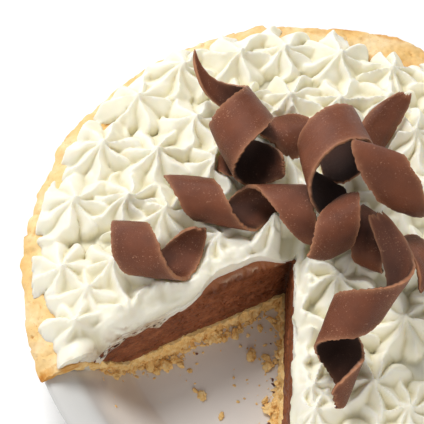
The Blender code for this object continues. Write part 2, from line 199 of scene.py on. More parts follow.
def boolean(ob, cutter, operation="DIFFERENCE"):
    """Cut a closed mesh by another and keep the result as its mesh."""
    for solver in ("MANIFOLD", "EXACT"):
        mod = ob.modifiers.new("cut", "BOOLEAN")
        mod.operation = operation
        mod.object = cutter
        mod.solver = solver
        bpy.context.view_layer.update()
        deps = bpy.context.evaluated_depsgraph_get()
        mesh = bpy.data.meshes.new_from_object(ob.evaluated_get(deps))
        ob.modifiers.clear()
        if len(mesh.polygons) > 20 and len(mesh.vertices) != len(ob.data.vertices):
            old = ob.data
            ob.data = mesh
            bpy.data.meshes.remove(old)
            return ob
        print("boolean fell back from", solver, "on", ob.name, len(mesh.polygons))
    return ob


def shade(ob, degrees):
    ob.data.shade_smooth()
    ob.data.set_sharp_from_angle(angle=math.radians(degrees))


def finished(ob, nodes):
    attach(ob, "root")
    if nodes:
        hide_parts(*([nodes] if isinstance(nodes, str) else nodes))
    return ob


# ----------------------------------------------------------------- materials
def srgb(r, g, b):
    def lin(c):
        c /= 255.0
        return c / 12.92 if c <= 0.04045 else ((c + 0.055) / 1.055) ** 2.4
    return (lin(r), lin(g), lin(b), 1.0)


class Surface:
    """A Principled material built from procedural nodes."""

    def __init__(self, name, roughness=0.5, **sockets):
        self.mat = bpy.data.materials.new(name)
        self.mat.use_nodes = True
        self.tree = self.mat.node_tree
        self.bsdf = self.tree.nodes["Principled BSDF"]
        self.bsdf.inputs["Roughness"].default_value = roughness
        for key, value in sockets.items():
            self.bsdf.inputs[key.replace("_", " ")].default_value = value
        self.coords = self.tree.nodes.new("ShaderNodeTexCoord")

    def node(self, kind, **values):
        n = self.tree.nodes.new(kind)
        for key, value in values.items():
            setattr(n, key, value)
        return n

    def link(self, a, b):
        self.tree.links.new(a, b)

    def place(self, source="Object", scale=(1, 1, 1), rotation=(0, 0, 0)):
        m = self.node("ShaderNodeMapping")
        m.inputs["Scale"].default_value = scale
        m.inputs["Rotation"].default_value = rotation
        self.link(self.coords.outputs[source], m.inputs["Vector"])
        return m.outputs["Vector"]

    def noise(self, scale, detail=3.0, rough=0.5, source="Object", stretch=(1, 1, 1),
              rotation=(0, 0, 0), distortion=0.0):
        n = self.node("ShaderNodeTexNoise")
        n.inputs["Scale"].default_value = scale
        n.inputs["Detail"].default_value = detail
        n.inputs["Roughness"].default_value = rough
        n.inputs["Distortion"].default_value = distortion
        self.link(self.place(source, stretch, rotation), n.inputs["Vector"])
        return n.outputs["Fac"]

    def voronoi(self, scale, source="Object", stretch=(1, 1, 1)):
        n = self.node("ShaderNodeTexVoronoi")
        n.inputs["Scale"].default_value = scale
        self.link(self.place(source, stretch), n.inputs["Vector"])
        return n.outputs["Distance"]

    def ramp(self, fac, stops, interpolation="LINEAR"):
        n = self.node("ShaderNodeValToRGB")
        n.color_ramp.interpolation = interpolation
        while len(n.color_ramp.elements) < len(stops):
            n.color_ramp.elements.new(0.5)
        for e, (pos, col) in zip(n.color_ramp.elements, stops):
            e.position = pos
            e.color = col if len(col) == 4 else (*col, 1.0)
        self.link(fac, n.inputs["Fac"])
        return n.outputs["Color"]

    def grey(self, fac, stops):
        return self.ramp(fac, [(p, (v, v, v, 1.0)) for p, v in stops])

    def mix(self, fac, a, b, blend="MIX"):
        n = self.node("ShaderNodeMix", data_type="RGBA", blend_type=blend)
        for sock, value in ((n.inputs[0], fac), (n.inputs[6], a), (n.inputs[7], b)):
            if isinstance(value, bpy.types.NodeSocket):
                self.link(value, sock)
            else:
                sock.default_value = value
        return n.outputs[2]

    def math(self, op, a, b=0.0):
        n = self.node("ShaderNodeMath", operation=op)
        for sock, value in zip(n.inputs, (a, b)):
            if isinstance(value, bpy.types.NodeSocket):
                self.link(value, sock)
            else:
                sock.default_value = value
        return n.outputs[0]

    def mix_grey(self, fac, a, b):
        """a where fac is 0, b where it is 1; numbers or outputs."""
        rest = self.math("SUBTRACT", 1.0, fac)
        return self.math("ADD", self.math("MULTIPLY", rest, a), self.math("MULTIPLY", fac, b))

    def attribute(self, name, output="Fac"):
        n = self.node("ShaderNodeAttribute")
        n.attribute_name = name
        return n.outputs[output]

    def color(self, socket):
        self.link(socket, self.bsdf.inputs["Base Color"])

    def roughness(self, socket):
        self.link(socket, self.bsdf.inputs["Roughness"])

    def bump(self, height, distance, strength=1.0, under=None):
        n = self.node("ShaderNodeBump")
        n.inputs["Strength"].default_value = strength
        n.inputs["Distance"].default_value = distance
        self.link(height, n.inputs["Height"])
        if under is not None:
            self.link(under, n.inputs["Normal"])
        return n.outputs["Normal"]

    def normal(self, socket):
        self.link(socket, self.bsdf.inputs["Normal"])


def cream_surface():
    s = Surface("whipped_cream_soft", 0.42, Subsurface_Weight=0.35, Subsurface_Scale=0.006)
    s.bsdf.inputs["Subsurface Radius"].default_value = (1.0, 0.85, 0.55)
    s.bsdf.inputs["Specular IOR Level"].default_value = 0.35
    tint = s.noise(60.0, 2.0)
    base = s.ramp(tint, [(0.25, srgb(241, 236, 216)), (0.75, srgb(245, 241, 226))])
    # painted shade: the cream is tinted a darker yellow in its creases and hollows, where shade falls
    base = s.mix(s.attribute("crease_shade"), base, srgb(210, 200, 154))
    stain = s.attribute("stain")
    s.color(s.mix(stain, base, srgb(178, 150, 118)))
    fine = s.noise(900.0, 3.0)
    soft = s.noise(220.0, 2.0)
    s.normal(s.bump(fine, 0.00012, 0.35, s.bump(soft, 0.0004, 0.4)))
    return s.mat


def curl_surface():
    s = Surface("shaved_chocolate", 0.40)
    s.bsdf.inputs["Specular IOR Level"].default_value = 0.32
    broad = s.noise(90.0, 3.0)
    lengthwise = s.noise(100.0, 3.0, 0.6, source="UV", stretch=(0.6, 16.0, 1.0))
    base = s.ramp(broad, [(0.3, srgb(92, 47, 28)), (0.7, srgb(121, 66, 41))])
    base = s.mix(s.grey(lengthwise, [(0.35, 0.0), (0.8, 0.35)]), base, srgb(140, 84, 56))
    patches = s.grey(s.noise(120.0, 2.0), [(0.40, 0.08), (0.62, 1.0)])
    dust = s.grey(s.noise(1500.0, 2.0, 0.7), [(0.62, 0.0), (0.70, 1.0)])
    base = s.mix(s.math("MULTIPLY", dust, patches), base, srgb(188, 140, 112))
    chips = s.grey(s.noise(620.0, 2.0, 0.5), [(0.70, 0.0), (0.74, 0.9)])
    base = s.mix(s.math("MULTIPLY", chips, patches), base, srgb(176, 128, 98))
    scratch = s.grey(s.noise(260.0, 2.0, 0.5, source="UV", stretch=(9.0, 1.2, 1.0)),
                     [(0.68, 0.0), (0.74, 0.6)])
    base = s.mix(s.math("MULTIPLY", scratch, patches), base, srgb(176, 126, 98))
    base = s.mix(s.attribute("edge"), base, srgb(178, 124, 90))
    # painted shade: where little light reaches past the other curls the colour goes near black; the roughness rises
    # there too
    closed = s.grey(s.attribute("open"), [(0.10, 0.97), (0.36, 0.82), (0.62, 0.16), (0.80, 0.0)])
    s.color(s.mix(closed, base, srgb(20, 9, 6)))
    s.roughness(s.mix_grey(closed, s.grey(broad, [(0.3, 0.36), (0.7, 0.50)]), 0.85))
    grooves = s.noise(120.0, 3.0, 0.6, source="UV", stretch=(0.5, 22.0, 1.0))
    grain = s.noise(1400.0, 2.0)
    pocks = s.noise(420.0, 3.0, 0.6)
    s.normal(s.bump(grain, 0.00012, 0.4, s.bump(pocks, 0.0002, 0.3, s.bump(grooves, 0.0004, 0.5))))
    return s.mat


def filling_surface():
    s = Surface("chocolate_silk", 0.52)
    s.bsdf.inputs["Specular IOR Level"].default_value = 0.28
    clouds = s.noise(150.0, 5.0, 0.62, stretch=(0.8, 0.8, 1.3), distortion=0.5)
    base = s.ramp(clouds, [(0.26, srgb(90, 46, 25)), (0.50, srgb(129, 72, 42)),
                           (0.76, srgb(160, 98, 63))])
    pits = s.grey(s.noise(620.0, 3.0, 0.6, stretch=(1.0, 1.0, 1.5)), [(0.30, 0.75), (0.40, 0.0)])
    base = s.mix(pits, base, srgb(58, 27, 16))
    specks = s.grey(s.noise(1300.0, 2.0, 0.6), [(0.68, 0.0), (0.75, 0.7)])
    base = s.mix(specks, base, srgb(196, 152, 120))
    # painted highlight: the rounded top edge of the cut face is coloured lighter; its lower roughness gives it real
    # gloss
    lip_highlight = s.attribute("lip_highlight")
    base = s.mix(lip_highlight, base, srgb(166, 104, 66))
    # painted highlight: a pale line along the rounded top edge
    base = s.mix(s.attribute("highlight_streak"), base, srgb(214, 190, 166))
    # painted shadow: the crease at the slice's corner is coloured near black
    s.color(s.mix(s.attribute("deep"), base, srgb(34, 16, 9)))
    s.roughness(s.mix_grey(lip_highlight, s.grey(clouds, [(0.3, 0.40), (0.7, 0.66)]), 0.30))
    rough = s.noise(420.0, 4.0, 0.6)
    s.normal(s.bump(rough, 0.0010, 0.6))
    return s.mat


def crust_surface(name="baked_crust_grain"):
    s = Surface(name, 0.72)
    s.bsdf.inputs["Specular IOR Level"].default_value = 0.25
    patches = s.noise(55.0, 4.0, 0.6)
    base = s.ramp(patches, [(0.30, srgb(226, 182, 110)), (0.48, srgb(238, 205, 146)),
                            (0.66, srgb(247, 228, 186))])
    # baked browning, with painted shade on the rim next to the filling
    browned = s.math("MULTIPLY", s.attribute("browning_and_shade"),
                     s.grey(s.noise(130.0, 4.0, 0.65), [(0.36, 0.20), (0.58, 1.15)]))
    browning_and_shade = s.ramp(s.noise(170.0, 3.0), [(0.3, srgb(196, 130, 54)), (0.7, srgb(226, 172, 92))])
    base = s.mix(browned, base, browning_and_shade)
    crumb = s.attribute("crumb")
    inside = s.ramp(s.noise(420.0, 4.0, 0.7), [(0.25, srgb(216, 163, 88)), (0.5, srgb(245, 207, 138)),
                                               (0.75, srgb(250, 228, 178))])
    base = s.mix(crumb, base, inside)
    freckles = s.grey(s.noise(900.0, 2.0, 0.6), [(0.64, 0.0), (0.72, 0.5)])
    s.color(s.mix(freckles, base, srgb(206, 142, 76)))
    pits = s.grey(s.voronoi(420.0), [(0.0, 0.0), (0.35, 1.0)])
    grain = s.noise(700.0, 4.0, 0.65)
    s.normal(s.bump(grain, 0.0006, 0.55, s.bump(pits, 0.0003, 0.4)))
    return s.mat


def glaze_surface():
    s = Surface("white_glaze", 0.16)
    s.bsdf.inputs["Specular IOR Level"].default_value = 0.5
    s.bsdf.inputs["Coat Weight"].default_value = 0.25
    s.bsdf.inputs["Coat Roughness"].default_value = 0.08
    tint = s.noise(14.0, 2.0)
    base = s.ramp(tint, [(0.3, srgb(194, 193, 190)), (0.7, srgb(201, 200, 197))])
    # painted light: the dish's floor and inner wall are coloured lighter than the flange, to lift the shade inside the
    # dish
    s.color(s.mix(s.attribute("floor"), base, srgb(226, 220, 213)))
    s.roughness(s.grey(s.noise(40.0, 3.0), [(0.3, 0.12), (0.7, 0.22)]))
    s.normal(s.bump(s.noise(30.0, 2.0), 0.0004, 0.25))
    return s.mat


def bits_surface():
    s = Surface("chocolate_bits", 0.5)
    tint = s.noise(300.0, 2.0)
    s.color(s.ramp(tint, [(0.3, srgb(60, 30, 20)), (0.7, srgb(112, 64, 44))]))
    s.normal(s.bump(s.noise(900.0, 3.0), 0.0003, 0.5))
    return s.mat


# -------------------------------------------------------------------- the cut
def cut_coords(x, y):
    """For each face of the cut: distance along it and out of the slice."""
    out = []
    for angle, sign in ((LEFT, -1.0), (RIGHT, 1.0)):
        dx, dy = x - APEX[0], y - APEX[1]
        along = dx * math.cos(angle) + dy * math.sin(angle)
        off = (-dx * math.sin(angle) + dy * math.cos(angle)) * sign
        out.append((along, off))
    return out


def slice_tool(name, back, relief, low=3.5, high=80.0, step=0.7):
    """Wedge with the slice's shape, its two faces uneven; back is how far
    they stand back into the slice, relief(side, along, z) how far they bulge
    into the pie."""
    t = np.concatenate([np.arange(1.2, 118.0, step), [126.0, 134.0]])
    zs = np.concatenate([np.arange(low, 64.0, step), [68.0, high]])
    path, normal, side, along = [], [], [], []
    nl = np.array([math.sin(LEFT), -math.cos(LEFT)])
    nr = np.array([-math.sin(RIGHT), math.cos(RIGHT)])
    for d in t[::-1]:
        path.append(APEX + d * np.array([math.cos(LEFT), math.sin(LEFT)]))
        normal.append(nl)
        side.append(0)
        along.append(d)
    for k in range(1, 5):
        w = k / 5.0
        n = nl * (1 - w) + nr * w
        n = n / np.linalg.norm(n)
        path.append(APEX + 1.2 * ((1 - w) * np.array([math.cos(LEFT), math.sin(LEFT)])
                                  + w * np.array([math.cos(RIGHT), math.sin(RIGHT)])) * 0.75)
        normal.append(n)
        side.append(0 if w < 0.5 else 1)
        along.append(0.6)
    for d in t:
        path.append(APEX + d * np.array([math.cos(RIGHT), math.sin(RIGHT)]))
        normal.append(nr)
        side.append(1)
        along.append(d)
    path, normal = np.array(path), np.array(normal)
    side, along = np.array(side), np.array(along)
    S, Z = np.broadcast_arrays(along[None, :], zs[:, None])
    D = np.where(side[None, :] == 0, relief(0, S, Z), relief(1, S, Z)) - back
    pts = np.zeros((len(zs), len(path), 3))
    pts[..., 0] = path[None, :, 0] + normal[None, :, 0] * D
    pts[..., 1] = path[None, :, 1] + normal[None, :, 1] * D
    pts[..., 2] = Z
    rows, cols = len(zs), len(path)
    mid = 0.5 * (LEFT + RIGHT)
    far = [APEX + 150.0 * np.array([math.cos(a), math.sin(a)])
           for a in (RIGHT - 0.05, mid, LEFT + 0.05)]
    extra = np.array([[f[0], f[1], z] for z in (zs[0], zs[-1]) for f in far])
    verts = np.concatenate([pts.reshape(-1, 3), extra])
    faces = grid_faces(rows, cols).tolist()
    n = rows * cols
    lo, hi = [n, n + 1, n + 2], [n + 3, n + 4, n + 5]
    first = [r * cols for r in range(rows)]
    last = [r * cols + cols - 1 for r in range(rows)]
    faces.append(list(range(cols))[::-1] + lo[::-1])
    faces.append(list(range((rows - 1) * cols, rows * cols)) + hi)
    faces.append(last + [hi[0], lo[0]])
    faces.append([lo[0], hi[0], hi[1], lo[1]])
    faces.append([lo[1], hi[1], hi[2], lo[2]])
    faces.append(first[::-1] + [lo[2], hi[2]])
    ob = mesh_object(name, verts, faces, smooth=False)
    bm = bmesh.new()
    bm.from_mesh(ob.data)
    bmesh.ops.recalc_face_normals(bm, faces=bm.faces)
    if bm.calc_volume(signed=True) < 0:
        bmesh.ops.reverse_faces(bm, faces=bm.faces)
    bm.to_mesh(ob.data)
    bm.free()
    return ob


# ------------------------------------------------------------------ the curls
CURLS = {
    "curl_low": dict(at=(12.7, 2.7, 60.1), axis=(-12, -14), radius=(16.4, 4.2), bulge=3.0,
        phase=90, turns=0.50, pitch=29.5, width=20.0, cone=(-0.00, 0.33),
        taper=(0.78, 0.80), lean=(0.39, -0.02), stretch=1.49),
    "curl_back": dict(at=(-23.5, 51.4, 53.7), axis=(37, -16), radius=(7.2, 13.4), bulge=-1.6,
        phase=90, turns=0.33, pitch=29.6, width=21.2, cone=(-0.08, -0.22),
        taper=(0.30, 0.22), lean=(0.00, -0.46), stretch=0.65),
    "curl_edge": dict(at=(31.7, -6.0, 67.2), axis=(52, -42), radius=(7.3, 12.7), bulge=-2.0,
        phase=35, turns=0.69, pitch=-29.3, width=19.8, cone=(0.32, -0.17),
        taper=(0.55, 0.80), lean=(-0.15, 0.48), stretch=1.26),
    "curl_leaf": dict(at=(27.3, 45.5, 75.1), axis=(-46, -25), radius=(7.5, 25.1), bulge=-0.5,
        phase=233, turns=0.47, pitch=-71.4, width=21.5, cone=(0.37, -0.05),
        taper=(0.83, 0.59), lean=(-0.00, 0.13), stretch=-0.17,
        slant=(-1.1, -5.0, 8.6)),
    "curl_left": dict(at=(-31.4, 11.4, 66.1), axis=(179, -3), radius=(12.0, 8.8), bulge=-1.8,
        phase=252, turns=1.46, pitch=37.5, width=17.9, cone=(-0.09, 0.16),
        taper=(0.29, 0.02), lean=(0.03, -0.04), stretch=-0.02),
    "curl_tip": dict(at=(-41.7, 34.1, 58.1), axis=(-76, -21), radius=(3.6, 3.7), bulge=-0.5,
        phase=144, turns=0.85, pitch=-8.3, width=8.1, cone=(0.28, -0.28),
        taper=(0.31, 0.74), lean=(-0.09, -0.00), stretch=-1.03,
        drift=(-0.9, 0.0)),
    "curl_middle": dict(at=(-1.6, 31.0, 86.2), axis=(-66, 14), radius=(14.1, 14.3), bulge=-0.2,
        phase=85, turns=1.05, pitch=17.7, width=20.0, cone=(0.07, 0.37),
        taper=(0.10, 0.13), lean=(0.08, -0.31), stretch=1.50),
    "curl_tall": dict(at=(-38.5, 44.3, 71.2), axis=(-58, -10), radius=(11.6, 10.5), bulge=0.1,
        phase=91, turns=1.44, pitch=22.4, width=21.8, cone=(0.13, -0.74),
        taper=(0.69, 0.19), lean=(-0.43, 0.10), stretch=-0.13,
        flare=(-5.0, -0.3), drift=(-15.9, 5.3),
        slant=(-0.1, -5.0, 8.7)),
    "curl_front_left": dict(at=(-67.1, -12.4, 63.7), axis=(179, -12), radius=(10.4, 11.0), bulge=-0.9,
        phase=12, turns=1.13, pitch=26.5, width=18.8, cone=(-0.04, 0.05),
        taper=(0.32, 0.39), lean=(-0.31, 0.15), stretch=-0.19),
    "curl_right": dict(at=(20.1, 16.9, 93.0), axis=(-20, 22), radius=(13.0, 9.9), bulge=-1.6,
        phase=87, turns=0.61, pitch=58.2, width=19.6, cone=(-0.07, -0.42),
        taper=(0.26, 0.29), lean=(-0.22, -0.18), stretch=0.25,
        slant=(4.2, 19.2, -34.8)),
    "curl_front": dict(at=(1.4, 1.9, 80.5), axis=(39, 5), radius=(6.7, 11.3), bulge=-2.7,
        phase=116, turns=0.57, pitch=-33.9, width=17.6, cone=(0.13, 0.76),
        taper=(0.40, 0.03), lean=(0.47, -0.02), stretch=-0.09),
    "curl_scroll": dict(at=(11.1, -38.6, 76.7), axis=(69, 34), radius=(8.0, 11.8), bulge=-1.6,
        phase=28, turns=1.53, pitch=34.2, width=18.0, cone=(0.05, -0.06),
        taper=(0.15, 0.35), lean=(-0.57, 0.11), stretch=0.17,
        flare=(6.9, 8.6), drift=(1.3, 11.8)),
}
CURL_THICK = 1.7
# rims that roll in: which edge, how much of the half width, how far
ROLLED = {"curl_leaf": ((1.0, 0.62, 3.4), (-1.0, 0.50, 2.0))}
# painted shade on the inner side, from the ribbon's start to its end: factors on its open share, lower is darker
INNER_SHADE = {"curl_middle": (0.55,), "curl_scroll": (0.60,), "curl_edge": (0.7,),
         "curl_tall": (1.0, 0.85, 0.55, 0.50, 0.50, 0.50, 0.50, 0.55, 0.80, 1.15)}


def ribbon(spec, u, t):
    """Points of a ribbon's middle surface, mm; u along it, t across, arrays."""
    az, tilt = (math.radians(d) for d in spec["axis"])
    axis = np.array([math.cos(az) * math.cos(tilt), math.sin(az) * math.cos(tilt), math.sin(tilt)])
    side = np.array([-math.sin(az), math.cos(az), 0.0])
    other = np.cross(axis, side)
    r0, r1 = spec["radius"]
    middle = 0.5 * (r0 + r1 + spec["bulge"])
    lead = math.atan2(spec["pitch"], 2 * math.pi * middle)
    fade = [np.minimum(1.0, np.sqrt(np.maximum(0.0, (q + 0.02) / max(share, 0.001))))
            for q, share in ((u, spec["taper"][0]), (1.0 - u, spec["taper"][1]))]
    across = 0.5 * spec["width"] * (t * fade[0] * fade[1] + spec["lean"][0] * (1.0 - fade[0])
                                    + spec["lean"][1] * (1.0 - fade[1]))
    v = u - 0.5
    flare, drift = spec.get("flare", (0.0, 0.0)), spec.get("drift", (0.0, 0.0))
    ends = [np.maximum(0.0, 1.0 - q / 0.35) ** 2 for q in (u, 1.0 - u)]
    radius = (r0 + (r1 - r0) * u + spec["bulge"] * 4 * u * (1 - u)
              + (spec["cone"][0] + spec["cone"][1] * v) * across
              + flare[0] * ends[0] + flare[1] * ends[1])
    radius = np.maximum(radius, 1.5)
    angle = (math.radians(spec["phase"]) + 2 * math.pi * spec["turns"] * v
             - across * math.sin(lead) / middle)
    along = (spec["pitch"] * spec["turns"] * (v + spec["stretch"] * v * v)
             + across * math.cos(lead) + drift[0] * ends[0] + drift[1] * ends[1])
    v = np.broadcast_to(v, along.shape)
    return (np.array(spec["at"]) + axis * along[..., None]
            + np.array(spec.get("slant", (0.0, 0.0, 0.0))) * v[..., None]
            + (side * np.cos(angle)[..., None] + other * np.sin(angle)[..., None])
            * radius[..., None])


def open_share(points, normals, tree, reach=45.0, rays=26):
    """Share of the sky above each point that no curl hides."""
    k = np.arange(rays) + 0.5
    up = np.sqrt(1.0 - k / rays)
    around = k * math.pi * (3.0 - math.sqrt(5.0))
    flat = np.sqrt(1.0 - up * up)
    local = np.stack([flat * np.cos(around), flat * np.sin(around), up], axis=-1)
    out = np.zeros(len(points))
    for i, (p, n) in enumerate(zip(points, normals)):
        n = Vector(n)
        side = n.orthogonal().normalized()
        other = n.cross(side)
        start = Vector(p * MM) + n * 0.0003
        free = 0
        for a, b, c in local:
            if tree.ray_cast(start, side * a + other * b + n * c, reach * MM)[0] is None:
                free += 1
        out[i] = free / rays
    return out


def spread(values, rows, cols, shape):
    """Values at some rows and columns of a grid, filled in between."""
    every = np.stack([np.interp(np.arange(shape[1]), cols, v) for v in values])
    return np.stack([np.interp(np.arange(shape[0]), rows, every[:, j]) for j in range(shape[1])], axis=1)


def curl_mesh(name, spec, mat, seed):
    length = 2 * math.pi * spec["turns"] * 0.5 * sum(spec["radius"])
    length = math.hypot(length, spec["pitch"] * spec["turns"])
    nu, nv = max(50, int(length / 0.55)), 30
    u = np.linspace(0.0, 1.0, nu)[:, None] * np.ones((1, nv))
    t = np.ones((nu, 1)) * np.sin(np.linspace(-1.0, 1.0, nv) * math.pi / 2 * 0.96)[None, :] \
        / math.sin(math.pi / 2 * 0.96)
    edge = np.abs(t) ** 6
    ends = np.clip(1 - np.minimum(u, 1 - u) * length / 1.6, 0, 1)
    # broken, crumbly outline
    s = u * length
    jag = 0.040 * noise(s / 0.9, np.sign(t) * 7.3, seed) + 0.018 * noise(s / 3.1, np.sign(t) * 3.1, seed + 3)
    chips = -0.06 * smoothstep(0.55, 0.9, noise(s / 2.3, np.sign(t) * 5.7, seed + 9))
    tt = t * (1.0 + (jag + chips) * edge)
    jag_end = (noise(t * 7.0, 1.7, seed + 5) * 0.9 + 0.5 * noise(t * 17.0, 2.7, seed + 6)) / length
    uu = u + jag_end * np.exp(-np.minimum(u, 1 - u) * length / 2.5)
    uu = np.clip(uu, 0.0, 1.0)
    mid = ribbon(spec, uu, tt)
    du = np.gradient(mid, axis=0)
    dv = np.gradient(mid, axis=1)
    nrm = np.cross(du, dv)
    nrm /= np.maximum(np.linalg.norm(nrm, axis=-1, keepdims=True), 1e-9)
    for edge_side, share, lift in ROLLED.get("curl_" + name.split("_", 1)[1], ()):
        roll = np.clip((edge_side * t - 1.0 + share) / share, 0, 1) ** 2
        mid = mid + nrm * (lift * roll * np.sin(math.pi * np.clip(u * 1.1 - 0.05, 0, 1)) ** 0.5)[..., None]
    if "curl_" + name.split("_", 1)[1] in ROLLED:
        nrm = np.cross(np.gradient(mid, axis=0), np.gradient(mid, axis=1))
        nrm /= np.maximum(np.linalg.norm(nrm, axis=-1, keepdims=True), 1e-9)
    w = 0.5 * spec["width"]
    wave = (0.16 * noise(s / 9.0, t * 1.3, seed + 11) + 0.055 * noise(s / 7.0, t * w / 0.55, seed + 12)
            + 0.04 * noise(s / 2.2, t * w / 2.0, seed + 13))
    thick = CURL_THICK * (1.0 - 0.16 * edge + 0.10 * noise(s / 6.0, t * 2.0, seed + 14))
    thick = thick * (1.0 - 0.45 * ends)
    rough = 0.16 * edge * noise(s / 0.8, t * 3.0, seed + 15)
    top = mid + nrm * (0.5 * thick + wave + rough)[..., None]
    bottom = mid - nrm * (0.5 * thick - wave + 0.16 * edge * noise(s / 0.8, t * 3.0, seed + 16))[..., None]
    verts = np.concatenate([top.reshape(-1, 3), bottom.reshape(-1, 3)])
    n = nu * nv
    faces = grid_faces(nu, nv)
    under = grid_faces(nu, nv, start=n)[:, ::-1]
    rim = []
    for i in range(nu - 1):
        a, b = i * nv, (i + 1) * nv
        rim.append([a, b, n + b, n + a])
        a, b = i * nv + nv - 1, (i + 1) * nv + nv - 1
        rim.append([b, a, n + a, n + b])
    for j in range(nv - 1):
        rim.append([j + 1, j, n + j, n + j + 1])
        a = (nu - 1) * nv + j
        rim.append([a, a + 1, n + a + 1, n + a])
    faces = faces.tolist() + under.tolist() + rim
    ob = mesh_object(name, verts, faces, mat, sharp=50)
    bm = bmesh.new()
    bm.from_mesh(ob.data)
    if bm.calc_volume(signed=True) < 0:
        bmesh.ops.reverse_faces(bm, faces=bm.faces)
    bm.to_mesh(ob.data)
    bm.free()
    layer = ob.data.uv_layers.new(name="UVMap")
    uv = np.concatenate([np.stack([s / 100.0, t * w / 100.0], axis=-1).reshape(-1, 2)] * 2)
    loops = np.zeros(len(ob.data.loops), int)
    ob.data.loops.foreach_get("vertex_index", loops)
    layer.data.foreach_set("uv", uv[loops].astype(np.float32).ravel())
    mark = ob.data.attributes.new("edge", "FLOAT", "POINT")
    e = np.clip(np.abs(t) ** 10 + 0.9 * ends ** 2, 0, 1)
    e = e * (0.80 + 0.20 * noise(s / 1.3, t * 5, seed + 20))
    mark.data.foreach_set("value", np.concatenate([e.ravel(), e.ravel()]).astype(np.float32))
    az, tilt = (math.radians(d) for d in spec["axis"])
    axis = np.array([math.cos(az) * math.cos(tilt), math.sin(az) * math.cos(tilt), math.sin(tilt)])
    arm = mid - np.array(spec["at"])
    arm = arm - (arm @ axis)[..., None] * axis
    return ob, (top, bottom, nrm, (nrm * arm).sum(axis=-1).mean() > 0)


def shade_curls(built, tight):
    """Marks on each curl how much light reaches it past the others."""
    verts, faces, base = [], [], 0
    for ob, _ in built:
        verts.append(points_of(ob) * MM)
        faces += [[base + i for i in f.vertices] for f in ob.data.polygons]
        base += len(ob.data.vertices)
    tree = BVHTree.FromPolygons(np.concatenate(verts).tolist(), faces)
    for (ob, (top, bottom, nrm, top_is_outer)), dark in zip(built, tight):
        shape = top.shape[:2]
        rows = np.unique(np.append(np.arange(0, shape[0], 5), shape[0] - 1))
        cols = np.unique(np.append(np.arange(1, shape[1] - 1, 4), shape[1] - 2))
        pick = np.ix_(rows, cols)
        both = []
        for side, sign in ((top, 1.0), (bottom, -1.0)):
            free = open_share(side[pick].reshape(-1, 3), sign * nrm[pick].reshape(-1, 3), tree)
            # the inner side gets extra painted shade
            if (sign > 0) != top_is_outer:
                share = np.interp(rows / (shape[0] - 1), np.linspace(0, 1, len(dark)), dark)
                free = free * np.repeat(share, len(cols))
            both.append(spread(free.reshape(len(rows), len(cols)), rows, cols, shape).ravel())
        mark_points(ob, "open", np.concatenate(both))


# ------------------------------------------------------------------ the cream
MEASURED = [  # tips of the stars that stand clear, mm
    (-92.1, -40.3), (-102.2, -17.5), (-101.0, 10.6), (-94.1, 37.6), (-82.4, 63.8),
    (-66.0, 80.8), (-43.1, 90.0), (-23.6, 96.6), (-0.2, 96.4), (22.7, 93.2),
    (-90.7, -27.6), (-81.7, -16.1), (-79.7, 12.5), (-71.7, 35.3), (-56.7, 53.1),
    (-46.1, 33.0), (-38.7, 65.5), (-19.6, 70.2), (2.1, 70.9), (34.3, 58.5),
    (0.6, -57.0), (2.9, -68.5), (24.6, -52.5), (34.1, -26.3), (39.2, -60.8)]
RINGS = [(100.5, 25, 76.0), (80.5, 21, 71.0), (60.5, 15, 8.0), (40.0, 10, 328.0),
         (20.0, 5, 20.0), (0.0, 1, 0.0)]


def star_table(rng):
    tips = [np.array(p) for p in MEASURED]
    for radius, count, phase in RINGS:
        for k in range(count):
            a = math.radians(phase + 360.0 * k / count)
            p = SHIFT + (radius + rng.normal(0, 0.9)) * np.array([math.cos(a), math.sin(a)])
            p = p + rng.normal(0, 0.7, 2)
            if min(np.linalg.norm(p - q) for q in tips) > 14.5:
                tips.append(p)
    stars = []
    for p in tips:
        ribs = int(rng.choice([6, 7, 7, 8]))
        near = sorted(np.linalg.norm(p - q) for q in tips)[1]
        turn = rng.uniform(0, 2 * math.pi)
        length = rng.uniform(0.88, 1.12, ribs)
        # petals that point outward over the crust are the longest
        away = math.atan2(p[1] - SHIFT[1], p[0] - SHIFT[0])
        if np.linalg.norm(p - SHIFT) > 92.0:
            if math.cos(away - math.radians(145.0)) > 0.55:
                turn = away + rng.uniform(-0.16, 0.16)
            petal = turn + 2 * math.pi * np.arange(ribs) / ribs
            reach = 0.12 + 0.27 * max(0.0, math.cos(away - math.radians(145.0))) ** 2
            length = length * (1.0 + reach * np.maximum(0.0, np.cos(petal - away)))
        stars.append(dict(
            at=p, ribs=ribs, turn=turn, swirl=rng.uniform(0.10, 0.75) * rng.choice([1.0, 1.0, -0.5]),
            radius=rng.uniform(15.6, 17.4) * min(1.0, 0.50 + near / 42.0),
            height=rng.uniform(12.2, 14.6) * (0.84 if near < 16 else 1.0),
            length=length, skew=rng.uniform(-0.35, 0.50, ribs),
            rise=rng.uniform(0.84, 1.18, ribs), tilt=rng.normal(0, 0.05, 2),
            hook=rng.normal(0, 1.0, 2), cup=rng.uniform(0.0, 0.5, ribs)))
    return stars


def cream_level(x, y):
    r = np.hypot(x - SHIFT[0], y - SHIFT[1]) / 100.5
    return 55.5 - 11.5 * np.minimum(r, 1.16) ** 2.6


